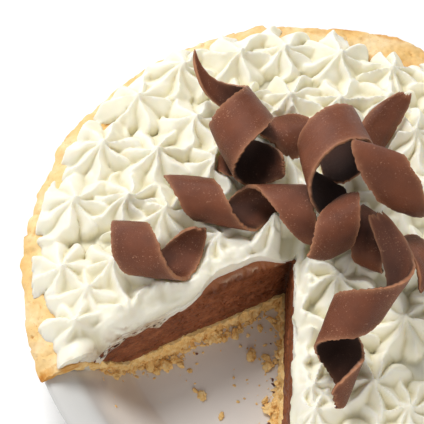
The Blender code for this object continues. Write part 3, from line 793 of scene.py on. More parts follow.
def piped(x, y, star):
    """Height of one star above the cream's level, over arrays of places."""
    dx, dy = x - star["at"][0], y - star["at"][1]
    rho = np.hypot(dx, dy)
    lead = np.exp(-rho / 2.2)
    dx, dy = dx - star["hook"][0] * lead, dy - star["hook"][1] * lead
    rho, th = np.hypot(dx, dy), np.arctan2(dy, dx)
    n, R = star["ribs"], star["radius"]
    bend = star["swirl"] * np.sin(np.minimum(rho / R, 1.2) * 2.4)
    wander = 0.13 * noise(dx / 5.5, dy / 5.5, star["at"][0])
    k = (th - star["turn"] - bend + wander) * n / (2 * math.pi)
    cell = np.floor(k + 0.5)
    f = 2.0 * (k - cell)
    idx = np.mod(cell, n).astype(int)
    skew, length, rise = star["skew"][idx], star["length"][idx], star["rise"][idx]
    f = f + skew * (1.0 - f * f)
    a = np.sqrt(f * f + 0.0081) - 0.09      # crests a little rounded
    ragged = 1.0 + 0.035 * noise(th * 5.0, star["at"][1], 4.0)
    q = rho / (R * length * ragged * (1.0 - 0.25 * a ** 2.1))
    tip = 0.25 * np.clip(1.0 - rho / 3.8, 0, 1) ** 2
    crest = 0.75 * (1.0 - 0.50 * q ** 1.25) * (1 + (rise - 1) * np.clip(q * 2, 0, 1))
    valley = 0.75 * (1.0 - 1.16 * q ** 0.78)
    # flanks sag a little between the crest and the crease
    flank = a ** (0.86 - 0.22 * star["cup"][idx] * np.clip(q, 0, 1))
    h = tip + crest - (crest - valley) * flank
    end = np.sqrt(np.clip(1.0 - q ** 12, 0, 1))
    h = np.where(h > 0, h * end, h)
    lean = star["tilt"][0] * dx + star["tilt"][1] * dy
    return np.where(q < 1.0, star["height"] * h + lean * np.clip(1 - q, 0, 1) * 2, -9.0)


def fill_top_visual(r):
    return np.interp(r, [0, 30, 48, 66, 84, 90.5, 94, 97.7], [51.4, 51.6, 50.6, 48.6, 46.6, 43.4, 37.0, 31.0])


def swell(x, y):
    """How far the filling's top stands above its turned shape."""
    corner = np.hypot(x - APEX[0], y - APEX[1])
    return (1.5 * np.exp(-((x + 36.0) ** 2 + (y + 16.0) ** 2) / 17.0 ** 2)
            - 4.6 * np.exp(-(corner / 7.0) ** 2) + 0.5 * noise(x / 16.0, y / 16.0, 1.0, 15))


def swelled(pts):
    out = pts.copy()
    r = np.hypot(pts[..., 0], pts[..., 1])
    top = (pts[..., 2] > 42.0) & (r < 92.0)
    out[..., 2] += np.where(top, swell(pts[..., 0], pts[..., 1]) * (1.0 - smoothstep(74.0, 88.0, r)), 0.0)
    return out


def cream_field(ribbons):
    g = CREAM_STEP
    n = int(119.0 / g)
    c = np.arange(-n, n + 1) * g
    X, Y = np.meshgrid(c, c, indexing="ij")
    R = np.hypot(X, Y)
    level = cream_level(X, Y)
    rng = np.random.default_rng(20)
    stars = star_table(rng)
    H = np.maximum(level - 3.6 + 0.6 * fbm(X / 9.0, Y / 9.0, 0.0, 2, 5), fill_top_visual(R) + swell(X, Y) + 0.75 + 0.9 * noise(X / 13.0, Y / 13.0, 0.0, 19))
    H = H - 7.0 * smoothstep(101.0, 106.0, R)
    for star in stars:
        ix = int(round((star["at"][0]) / g)) + n
        iy = int(round((star["at"][1]) / g)) + n
        w = int(18.5 / g)
        sl = (slice(max(0, ix - w), ix + w + 1), slice(max(0, iy - w), iy + w + 1))
        h = piped(X[sl], Y[sl], star)
        H[sl] = np.maximum(H[sl], level[sl] + h)
    # the knife has dragged the cream smooth beside the cut
    (sl_, dl), (sr_, dr) = cut_coords(X, Y)
    top = fill_top_visual(R) + swell(X, Y) + 1.2
    for along, off, width, rise in ((sl_, dl, 10.5, 7.2), (sr_, dr, 7.0, 6.0)):
        live = (along > -8.0)
        edge = off + 3.0 * noise(along / 9.0, 3.3, 1.0 + width) + 1.3 * noise(along / 3.1, 1.3, width)
        keep = smoothstep(0.55 * width, 1.05 * width, edge)
        stroke = along + 0.45 * off
        drag = (1.5 * noise(stroke / 10.0, off / 4.2, width) + 0.95 * noise(stroke / 6.0, off / 1.7, 2.0 + width)
                + 0.40 * noise(stroke / 3.4, off / 0.9, 6.0 + width) + 0.8 * noise(along / 2.8, off / 3.4, 4.0 + width))
        lift = rise * (1.0 - np.exp(-np.maximum(off + 0.8, 0) / (0.36 * width)))
        smear = top + 1.2 * noise(along / 12.0, 9.1, width) + lift + drag * smoothstep(-0.6, 2.2, off)
        outer = np.clip((R - 92.0) / 12.0, 0, 1)
        smear = smear * (1 - outer) + np.minimum(smear, level + 5.6 - 1.2 * outer) * outer
        # strokes also sink into the stars next to the band
        ghost = 0.55 * (H - level) * smoothstep(0.15 * width, 0.8 * width, off)
        keep = np.where(live & (np.abs(off) < 40), keep, 1.0)
        mixed = keep * H + (1 - keep) * np.maximum(smear + ghost, 0)
        H = np.where(off > -6.0, mixed, H)
    # the last petal beside the left cut lies down over the crust
    petal = 1.0 - ((sl_ - 96.3 + 0.40 * dl) / 8.6) ** 2 - ((dl - 2.0) / 8.2) ** 2
    dome = 39.4 + np.where(petal > 0, 6.2 * np.sqrt(np.maximum(petal, 0.0)), 9.0 * np.maximum(petal, -4.0))
    gap = H - dome
    H = np.where((sl_ > 74.0) & (np.abs(dl) < 22.0), np.maximum(H, 0.5 * (H + dome + np.sqrt(gap * gap + 7.0)) - 0.25), H)
    H = np.where(R > 116.0, np.minimum(H, 30.0), H)
    H = blurred(H, 0.50)
    H += 0.05 * fbm(X / 1.7, Y / 1.7, 0.0, 2, 11) + 0.12 * noise(X / 4.0, Y / 4.0, 0.0, 13)
    # curls press into it
    flat = np.column_stack([X.ravel(), Y.ravel()])
    limit = np.full(len(flat), 1e3)
    near = np.zeros(len(flat), bool)
    for tree, lo, hi in ribbons:
        inside = ((flat[:, 0] > lo[0] - 1) & (flat[:, 0] < hi[0] + 1)
                  & (flat[:, 1] > lo[1] - 1) & (flat[:, 1] < hi[1] + 1))
        for i in np.nonzero(inside)[0]:
            hit = tree.ray_cast(Vector((flat[i, 0] * MM, flat[i, 1] * MM, 0.02)), Vector((0, 0, 1)))[0]
            if hit and hit.z / MM < limit[i]:
                limit[i] = hit.z / MM
    limit = limit.reshape(X.shape) - 0.35
    low = limit.copy()
    for dx in (-2, -1, 0, 1, 2):
        for dy in (-2, -1, 0, 1, 2):
            if dx * dx + dy * dy <= 5:
                low = np.minimum(low, np.roll(np.roll(limit, dx, 0), dy, 1) + 0.25 * math.hypot(dx, dy))
    H = np.minimum(H, low)
    return X, Y, H, R, stars


def cream_object(mat, ribbons, tool):
    X, Y, H, R, stars = cream_field(ribbons)
    # painted shade for the creases: how far each place lies below its blurred surroundings
    crease_shade_depth = np.clip((blurred(H, 2.4) - H) / 1.5, 0, 1) + 0.6 * np.clip((blurred(H, 7.0) - H) / 5.0, 0, 1)
    crease_shade_depth = np.where(R < 112.0, np.clip(crease_shade_depth, 0, 1), 0.0)
    keep = R < 118.0
    ids = np.full(X.shape, -1)
    ids[keep] = np.arange(keep.sum())
    count = int(keep.sum())
    quad = keep[:-1, :-1] & keep[1:, :-1] & keep[1:, 1:] & keep[:-1, 1:]
    a, b, c, d = ids[:-1, :-1][quad], ids[1:, :-1][quad], ids[1:, 1:][quad], ids[:-1, 1:][quad]
    top = np.stack([a, b, c, d], axis=-1)
    low = top[:, ::-1] + count
    edges = {}
    pairs = np.concatenate([top[:, [0, 1]], top[:, [1, 2]], top[:, [2, 3]], top[:, [3, 0]]])
    seen = set(map(tuple, pairs.tolist()))
    rim = [(p, q) for p, q in seen if (q, p) not in seen]
    wall = [[q, p, p + count, q + count] for p, q in rim]
    verts = np.column_stack([X[keep], Y[keep], H[keep]])
    under = verts.copy()
    under[:, 2] = 22.0
    used = np.zeros(2 * count, bool)
    faces = top.tolist() + low.tolist() + wall
    used[np.unique(np.concatenate([top.ravel(), low.ravel()]))] = True
    remap = np.cumsum(used) - 1
    faces = [[int(remap[i]) for i in f] for f in faces]
    verts = np.concatenate([verts, under])[used]
    ob = mesh_object("piped_cream", verts, faces, mat)
    base = [(0, fill_top_visual(0)), (30, fill_top_visual(30)), (48, fill_top_visual(48)),
            (66, fill_top_visual(66)), (84, fill_top_visual(84)), (90.5, fill_top_visual(90.5)),
            (94.0, 37.0), (97.5, 31.2), (99.6, 33.0), (101.6, 36.8), (104.3, 39.0), (107.6, 40.6),
            (113.2, 40.2), (121.0, 37.4), (124.0, 37.0), (124.0, 12.0), (0, 12.0)]
    base = resampled(base, [2.5] * 5 + [4.0] * 9 + [60.0, 60.0])
    under_tool = lathe("cream_base_tool", base, 192, move=swelled)
    boolean(ob, under_tool)
    boolean(ob, tool)
    bpy.data.objects.remove(under_tool)
    shade(ob, 62)
    p = points_of(ob)
    i = np.clip(np.round(p[:, 0] / CREAM_STEP).astype(int) + X.shape[0] // 2, 0, X.shape[0] - 1)
    j = np.clip(np.round(p[:, 1] / CREAM_STEP).astype(int) + X.shape[1] // 2, 0, X.shape[1] - 1)
    # marks the painted crease shade near the top surface
    mark_points(ob, "crease_shade", 0.52 * crease_shade_depth[i, j] * (np.abs(p[:, 2] - H[i, j]) < 1.5))
    return ob, stars


def mark_points(ob, name, values):
    layer = ob.data.attributes.get(name) or ob.data.attributes.new(name, "FLOAT", "POINT")
    layer.data.foreach_set("value", np.asarray(values, np.float32))


def points_of(ob):
    co = np.zeros(len(ob.data.vertices) * 3, np.float32)
    ob.data.vertices.foreach_get("co", co)
    return co.reshape(-1, 3).astype(float) / MM


# ---------------------------------------------------------- crust and filling
WALL_LOW, WALL_HIGH = (83.5, 6.5), (103.5, 29.5)


def dish_object(mat):
    profile = [(0, 4.5), (78.0, 4.5), (83.5, 6.5), (103.5, 29.5), (105.6, 32.0), (108.0, 33.4),
               (111.0, 33.9), (117.4, 34.0), (118.8, 33.5), (119.1, 32.4), (118.2, 31.2),
               (115.5, 30.8), (109.4, 29.6), (106.6, 27.2), (86.8, 4.2), (83.5, 1.2), (79.6, 0.0),
               (76.4, 0.0), (75.2, 0.9), (0, 0.9)]
    sides = [(76.4, 0.0), (79.6, 0.0)]
    pts = rounded(profile, 2, keep=sides)
    pts = resampled(pts, [6.0] * (len(pts) - 1))
    ob = lathe("pie_dish", pts, 288, mat, sharp=35)
    p = points_of(ob)
    # painted light: marks the floor and inner wall that are coloured lighter against the shade inside the dish
    mark_points(ob, "floor", (1.0 - smoothstep(97.0, 108.0, np.hypot(p[:, 0], p[:, 1]))) * (p[:, 2] > 3.0))
    return ob


def crust_object(mat, tool):
    under = [(0, 4.9), (77.8, 4.9), (83.2, 6.9), (103.2, 29.8), (106.2, 33.1), (110.4, 34.1), (116.6, 34.4)]
    inside = [(0, 13.5), (79.4, 13.5), (84.6, 15.8), (99.3, 33.1), (101.4, 36.7), (104.3, 39.6),
              (107.6, 41.0), (113.2, 40.8), (118.6, 38.8), (120.3, 37.2), (119.9, 35.2), (118.6, 34.5)]
    gaps = [6.0, 1.2, 1.2, 0.8, 0.7, 0.7, 0.7, 0.7, 0.6, 0.6, 0.6]
    line = resampled(inside, gaps) + resampled(list(reversed(under)), [1.0, 2.0, 3.0, 4.0, 3.0, 8.0])
    segments = 840

    def move(pts):
        r = np.hypot(pts[..., 0], pts[..., 1])
        a = np.arctan2(pts[..., 1], pts[..., 0])
        z = pts[..., 2]
        top = smoothstep(100.0, 106.0, r) * smoothstep(34.3, 36.0, z)
        x, y = pts[..., 0], pts[..., 1]
        lump = 0.85 * fbm(x / 9.0, y / 9.0, z / 11.0, 2, 31) + 0.42 * fbm(x / 2.8, y / 2.8, z / 3.0, 3, 37)
        pits = (-0.6 * smoothstep(0.35, 0.80, noise(x / 1.9, y / 1.9, z / 1.9, 41))
                - 0.7 * smoothstep(0.86, 0.97, 1.0 - np.abs(noise(x / 7.0, y / 7.0, 3.0, 44))))
        wave = (0.55 * np.sin(5 * a + 0.6) + 0.45 * np.sin(9 * a + 2.0) + 0.5 * np.sin(14 * a + 1.1))
        wave = wave - 1.3 * np.exp(-((a - math.radians(146.0)) / 0.52) ** 4)
        rag = 0.9 * fbm(a * 120.0 / 7.0, z / 9.0, 1.0, 3, 43) \
            - 1.5 * smoothstep(0.50, 0.80, noise(a * 120.0 / 4.6, z / 14.0, 2.0, 47))
        share = np.clip((r - 110.0) / 10.4, 0, 1)
        grow = np.maximum(wave * 0.9 + rag * share, -1.1 + 0.4 * noise(a * 30.0, 1.0, 5.0, 49)) * share
        out = pts.copy()
        scale = (r + grow) / r
        out[..., 0] *= scale
        out[..., 1] *= scale
        out[..., 2] += top * (lump + pits) + top * 0.4 * np.sin(7 * a + 1.0)
        (along, off), _ = cut_coords(x, y)
        out[..., 2] -= 1.7 * top * np.exp(-(off / 8.0) ** 2) * (along > 60.0)
        rough = smoothstep(9.0, 12.0, z) * (1 - top) * (r > 70)
        out[..., 2] += 0.15 * rough * noise(x / 2.0, y / 2.0, z / 2.0, 53)
        return out

    ob = lathe("baked_crust", line, segments, mat, move=move)
    boolean(ob, tool)
    shade(ob, 50)
    p = points_of(ob)
    r = np.hypot(p[:, 0], p[:, 1])
    a = np.arctan2(p[:, 1], p[:, 0])
    (al, ol), (ar, orr) = cut_coords(p[:, 0], p[:, 1])
    near_cut = np.where((np.abs(ol) < 2.4) & (al > -1), 1.0, 0.0) + np.where((np.abs(orr) < 2.4) & (ar > -1), 1.0, 0.0)
    crumb = np.clip(near_cut, 0, 1) * np.where((r < 117.5) & (p[:, 2] < 40.2), 1.0, 0.0)
    warm = 0.5 + 0.5 * np.cos(a - math.radians(72.0))
    # painted shade: the rim is browned darker next to the filling, where the cream petals shade it; the rest is baked
    # browning
    inner = 1.0 - smoothstep(105.0, 110.0, r)
    edge = smoothstep(118.6, 120.6, r)
    browning_and_shade = np.clip(0.04 + 0.40 * inner + 0.40 * edge * (0.4 + 0.6 * warm) + 0.22 * warm ** 3
                    + 0.25 * fbm(p[:, 0] / 8, p[:, 1] / 8, p[:, 2] / 8, 2, 61), 0, 0.95)
    # the cut end of the rim is thin and baked darker than the shell under the filling
    end = np.clip(near_cut, 0, 1) * smoothstep(99.0, 106.0, r) * smoothstep(33.0, 35.0, p[:, 2])
    crumb = crumb * (1 - end)
    mark_points(ob, "browning_and_shade", browning_and_shade * (1 - crumb * 0.8) + 0.9 * end)
    mark_points(ob, "crumb", crumb)
    return ob


def filling_object(mat, tool):
    r0 = [0, 30, 48, 66, 84, 90.5, 94.0, 97.6]
    top = [(r, float(fill_top_visual(r)) - 0.1) for r in r0]
    wall = [(84.2, 16.0), (79.2, 13.8)]
    line = resampled(top + wall + [(0, 13.8)], [2.5] * 5 + [4.0] * 2 + [3.0, 3.0, 20.0])
    ob = lathe("silk_filling", line, 192, mat, move=swelled)
    boolean(ob, tool)
    shade(ob, 50)
    p = points_of(ob)
    (al, ol), (ar, orr) = cut_coords(p[:, 0], p[:, 1])
    z = p[:, 2]
    crown = fill_top_visual(np.hypot(p[:, 0], p[:, 1])) + swell(p[:, 0], p[:, 1]) - z
    near = (np.abs(ol) < 6.0) & (np.abs(ol) < np.abs(orr) + 1.0) & (al > -1.0)
    along = smoothstep(1.0, 6.0, al) * (1.0 - smoothstep(36.0, 50.0, al))
    # painted highlight on the rounded top edge of the cut face
    lip_highlight = near * along * (1.0 - smoothstep(0.8, 4.2, crown + 0.8 * noise(al / 5.0, z / 3.0, 2.0, 16)))
    # painted highlight line a little below the top edge
    thin = np.exp(-((crown - 2.4 - 1.0 * noise(al / 9.0, 3.0, 5.0, 17)) / 0.45) ** 2)
    highlight_streak = near * thin * smoothstep(-0.1, 0.5, noise(al / 3.4, z / 3.0, 4.0, 18)) \
        * smoothstep(6.0, 9.0, al) * (1.0 - smoothstep(30.0, 36.0, al))
    # painted shadow in the crease at the slice's corner, on the left face
    deep = near * (1.0 - smoothstep(1.0, 6.5, al + 1.2 * noise(z / 3.0, 1.0, 7.0, 21))) * smoothstep(1.0, 4.0, crown)
    mark_points(ob, "lip_highlight", 0.85 * lip_highlight)
    mark_points(ob, "highlight_streak", 0.75 * highlight_streak)
    mark_points(ob, "deep", 0.75 * deep)
    return ob


# ----------------------------------------------------------- smears and crumbs
def cream_smears(mat):
    """Thin skins of cream that the knife left over the filling's cut face."""
    parts, faces, base = [], [], 0
    drips = [(60.0, 8.0, 2.9), (49.5, 3.4, 2.2), (71.0, 2.6, 3.2), (36.0, 1.0, 3.0), (27.0, 1.6, 2.4),
             (78.0, 2.2, 2.4), (12.0, 1.2, 2.2)]
    for side, angle, lo, hi in ((0, LEFT, 4.0, 95.0), (1, RIGHT, 3.0, 96.0)):
        s = np.arange(lo, hi, 0.4)
        rows = 30
        w = np.linspace(0.0, 1.0, rows)
        direction = np.array([math.cos(angle), math.sin(angle)])
        out = np.array([-math.sin(angle), math.cos(angle)]) * (1.0 if side == 0 else -1.0)
        x, y = APEX[0] + s * direction[0], APEX[1] + s * direction[1]
        r = np.hypot(x, y)
        top = fill_top_visual(r) + swell(x, y) * (1.0 - smoothstep(74.0, 88.0, r)) + 1.0
        shy = smoothstep(3.0, 13.0, s) * (1.0 - smoothstep(34.0, 47.0, s))
        drop = 1.6 + 0.9 * noise(s / 3.4, 2.0, 5.0 + side) + 0.6 * noise(s / 1.3, 4.0, 7.0 + side)
        if side == 0:
            for at, deep, wide in drips:
                drop = drop + deep * np.exp(-0.5 * ((s - at) / wide) ** 2)
            drop = drop + 1.6 * smoothstep(56.0, 66.0, s) + 6.2 * np.exp(-0.5 * ((s - 86.5) / 5.2) ** 2)
        else:
            drop = drop + 2.4 * smoothstep(0.1, 0.8, noise(s / 5.0, 1.0, 3.0))
        drop = np.maximum(drop, 0.35) * smoothstep(0, 4, s - lo) * smoothstep(0, 4, hi - s) + 0.2
        if side == 0:
            drop = drop * (1.0 - shy)
        Z = top[:, None] - (drop + 1.0)[:, None] * w[None, :]
        bulge = (0.75 * (1 - w) ** 0.5 + 0.42 * np.exp(-((w - 0.86) / 0.10) ** 2) + 0.12
                 - 1.5 * (1.0 - smoothstep(0.0, 0.30, w)))[None, :]
        bulge = bulge * (1 + 0.25 * noise(s[:, None] / 2.0, Z / 2.0, 9.0)) * (1 - w[None, :] ** 14)
        if side == 0:
            bulge = bulge - 4.4 * shy[:, None]
            thin = smoothstep(54.0, 60.0, s) * (1.0 - smoothstep(92.0, 95.0, s))
            bulge = bulge * (1.0 - 0.55 * thin[:, None])
        else:
            bulge = bulge * 0.6 - 0.9
        front = np.stack([x[:, None] + out[0] * (bulge + 0.25), y[:, None] + out[1] * (bulge + 0.25), Z], axis=-1)
        back = np.stack([x[:, None] + out[0] * (bulge - 1.2), y[:, None] + out[1] * (bulge - 1.2), Z], axis=-1)
        n = len(s) * rows
        parts += [front.reshape(-1, 3), back.reshape(-1, 3)]
        ff = grid_faces(len(s), rows, start=base)
        bb = grid_faces(len(s), rows, start=base + n)[:, ::-1]
        if side == 0:
            # air pits that show the filling
            S2, W2 = np.broadcast_arrays(s[:, None], w[None, :])
            pit = (noise(S2 / 1.5, Z / 0.9, 2.0, 121) > 0.24) & (np.hypot((S2 - 86.0) / 8.0, (Z - 37.4) / 4.4) < 1.0)
            pit = pit | ((noise(S2 / 1.1, Z / 0.7, 5.0, 123) > 0.64) & (S2 > 58.0) & (S2 < 80.0) & (W2 > 0.45))
            whole = ~(pit[:-1, :-1] | pit[1:, 1:]).ravel()
            ff, bb = ff[whole], bb[whole]
        faces += ff.tolist() + bb.tolist()
        for i in range(len(s) - 1):
            for j, flip in ((0, False), (rows - 1, True)):
                p, q = base + i * rows + j, base + (i + 1) * rows + j
                f = [p, q, q + n, p + n]
                faces.append(f[::-1] if not flip else f)
        for i, flip in ((0, True), (len(s) - 1, False)):
            for j in range(rows - 1):
                p, q = base + i * rows + j, base + i * rows + j + 1
                f = [p, q, q + n, p + n]
                faces.append(f[::-1] if not flip else f)
        base += 2 * n
    ob = mesh_object("cream_smears", np.concatenate(parts), faces, mat, sharp=70)
    bm = bmesh.new()
    bm.from_mesh(ob.data)
    bmesh.ops.recalc_face_normals(bm, faces=bm.faces)
    bm.to_mesh(ob.data)
    bm.free()
    return ob


def ball(level):
    bm = bmesh.new()
    bmesh.ops.create_icosphere(bm, subdivisions=level, radius=1.0)
    bm.verts.ensure_lookup_table()
    verts = np.array([v.co for v in bm.verts])
    faces = np.array([[v.index for v in f.verts] for f in bm.faces])
    bm.free()
    return verts, faces


def joined_crumbs(name, crumbs, mat, level=3):
    """One mesh of many small broken lumps, each (x, y, z of its foot, size)."""
    unit, tri = ball(level)
    small, small_tri = ball(2)
    verts, faces, base = [], [], 0
    for k, (x, y, z, size) in enumerate(crumbs):
        src, ft = (unit, tri) if size > 1.0 else (small, small_tri)
        rng = np.random.default_rng(900 + k)
        p = src * (1 + 0.36 * noise(src[:, 0] * 1.3 + k, src[:, 1] * 1.3, src[:, 2] * 1.3, 71)[:, None]
                   + 0.30 * noise(src[:, 0] * 3.4, src[:, 1] * 3.4 + k, src[:, 2] * 3.4, 73)[:, None]
                   + 0.17 * noise(src[:, 0] * 8, src[:, 1] * 8, src[:, 2] * 8 + k, 79)[:, None])
        p = p * np.array([1.0, rng.uniform(0.55, 0.9), rng.uniform(0.35, 0.65)])
        a = rng.uniform(0, 2 * math.pi)
        tilt = rng.normal(0, 0.35)
        turn = np.array(Matrix.Rotation(a, 3, "Z") @ Matrix.Rotation(tilt, 3, "X"))
        p = (p @ turn.T) * size
        p = p - np.array([0, 0, p[:, 2].min() + 0.12 * size])
        verts.append(p + np.array([x, y, z]))
        faces.append(ft + base)
        base += len(p)
    ob = mesh_object(name, np.concatenate(verts), np.concatenate(faces), mat, sharp=60)
    return ob


def dish_height(r):
    return float(np.interp(r, [0, 79.5, 83.5, 103.5, 106.5, 110, 118], [4.5, 4.6, 6.5, 29.5, 32.6, 33.8, 34.0]))


def crumb_powder(mat):
    """Fine crumbs that lie in drifts along the feet of the two cut faces."""
    g = 0.36
    x, y = np.meshgrid(np.arange(-96.0, 0.0, g), np.arange(-102.0, 2.0, g), indexing="ij")
    (al, ol), (ar, orr) = cut_coords(x, y)
    r = np.hypot(x, y)
    left = (0.95 * np.exp(-np.maximum(-ol, 0.0) / (2.1 + 3.6 * np.exp(-((al - 60.0) / 11.0) ** 2)
                                                   + 2.2 * np.exp(-((al - 30.0) / 7.0) ** 2)))
            * smoothstep(2.0, 9.0, al) * (1.0 - smoothstep(80.0, 90.0, al)))
    right = (0.85 * np.exp(-np.maximum(-orr, 0.0) / (2.0 + 1.6 * np.exp(-((ar - 56.0) / 12.0) ** 2)))
             * smoothstep(2.0, 8.0, ar) * (1.0 - smoothstep(84.0, 94.0, ar)))
    share = np.maximum(left, right)
    clump = fbm(x / 5.5, y / 5.5, 1.0, 3, 111)
    grain = fbm(x / 1.25, y / 1.25, 2.0, 3, 113)
    h = 2.6 * (share - 0.30) + 1.25 * clump * smoothstep(0.08, 0.45, share) + 0.75 * grain * smoothstep(0.05, 0.3, share)
    h = np.where((ol < 1.4) & (orr < 1.4) & (r < 101.0), h, -1.0)
    h = np.minimum(h, 3.6)
    base = np.interp(r, [0, 79.5, 83.5, 103.5], [4.5, 4.6, 6.5, 29.5])
    z = base + np.maximum(h, -0.35)
    on = h > 0.0
    cell = on[:-1, :-1] | on[1:, :-1] | on[1:, 1:] | on[:-1, 1:]
    ids = np.arange(x.size).reshape(x.shape)
    faces = np.stack([ids[:-1, :-1][cell], ids[1:, :-1][cell], ids[1:, 1:][cell], ids[:-1, 1:][cell]], axis=-1)
    used = np.unique(faces)
    remap = np.full(x.size, -1)
    remap[used] = np.arange(len(used))
    verts = np.stack([x, y, z], axis=-1).reshape(-1, 3)[used]
    # crumbs overhang a little: no two columns stand alike
    verts[:, 0] += 0.16 * noise(verts[:, 0] / 0.9, verts[:, 1] / 0.9, 5.0, 115)
    verts[:, 1] += 0.16 * noise(verts[:, 0] / 0.9, verts[:, 1] / 0.9, 9.0, 117)
    return mesh_object("crumb_powder", verts, remap[faces], mat, sharp=70)


def crumb_places(rng):
    out = []
    uL = np.array([math.cos(LEFT), math.sin(LEFT)])
    uR = np.array([math.cos(RIGHT), math.sin(RIGHT)])
    nL = np.array([-math.sin(LEFT), math.cos(LEFT)])
    nR = np.array([math.sin(RIGHT), -math.cos(RIGHT)])

    def add(x, y, size, lift=0.0):
        out.append((x, y, dish_height(math.hypot(x, y)) - 0.15 + lift, size))

    # heaps along the foot of the left face
    for _ in range(300):
        s = rng.uniform(8, 86)
        dense = 1.0 + 1.8 * math.exp(-((s - 64) / 9.0) ** 2) + 0.9 * math.exp(-((s - 26) / 5.0) ** 2)
        if rng.uniform() * 2.8 > dense:
            continue
        off = 0.3 + rng.exponential(1.5 + 1.3 * math.exp(-((s - 62) / 9.0) ** 2))
        p = APEX + uL * s + nL * off
        add(p[0], p[1], 0.30 + 0.95 * rng.uniform() ** 3, max(0.0, rng.uniform(0, 3.4) - off * 0.5))
    # and along the foot of the right face
    for _ in range(240):
        s = rng.uniform(4, 92)
        off = 0.3 + rng.exponential(2.2)
        p = APEX + uR * s + nR * off
        add(p[0], p[1], 0.30 + 1.05 * rng.uniform() ** 3, max(0.0, rng.uniform(0, 3.4) - off * 0.5))
    # strays on the dish's floor
    for x, y, size in ((-75.6, -47.0, 2.1), (-18.8, -13.9, 1.5), (-21.3, -26.7, 2.6), (-45.9, -37.0, 1.1),
                       (-39.5, -47.3, 1.9), (-42.7, -45.5, 1.2), (-30.7, -54.9, 1.5), (-62.9, -37.4, 2.7),
                       (-56.5, -36.3, 2.9), (-52.5, -33.6, 2.6), (-50.0, -35.4, 1.9), (-11.7, -49.5, 2.8),
                       (-13.4, -46.0, 2.0), (-29.0, -18.2, 2.3), (-27.4, -16.2, 1.7), (-33.4, -21.3, 1.5),
                       (-59.8, -39.4, 1.8), (-66.0, -38.8, 1.7), (-14.6, -26.8, 1.9), (-14.0, -31.2, 2.2)):
        add(x, y, size)
    for _ in range(60):
        s, off = rng.uniform(10, 88), rng.exponential(9.0) + 3
        p = APEX + uL * s + nL * off if rng.uniform() < 0.6 else APEX + uR * s + nR * off
        (_, a), (_, b) = cut_coords(p[0], p[1])
        if a < -2.0 and b < -2.0 and math.hypot(*p) < 100:
            add(p[0], p[1], rng.uniform(0.25, 0.75))
    return [c for c in out if cut_inside(c[0], c[1])]


def cut_inside(x, y):
    (_, a), (_, b) = cut_coords(x, y)
    return a < 0.6 and b < 0.6


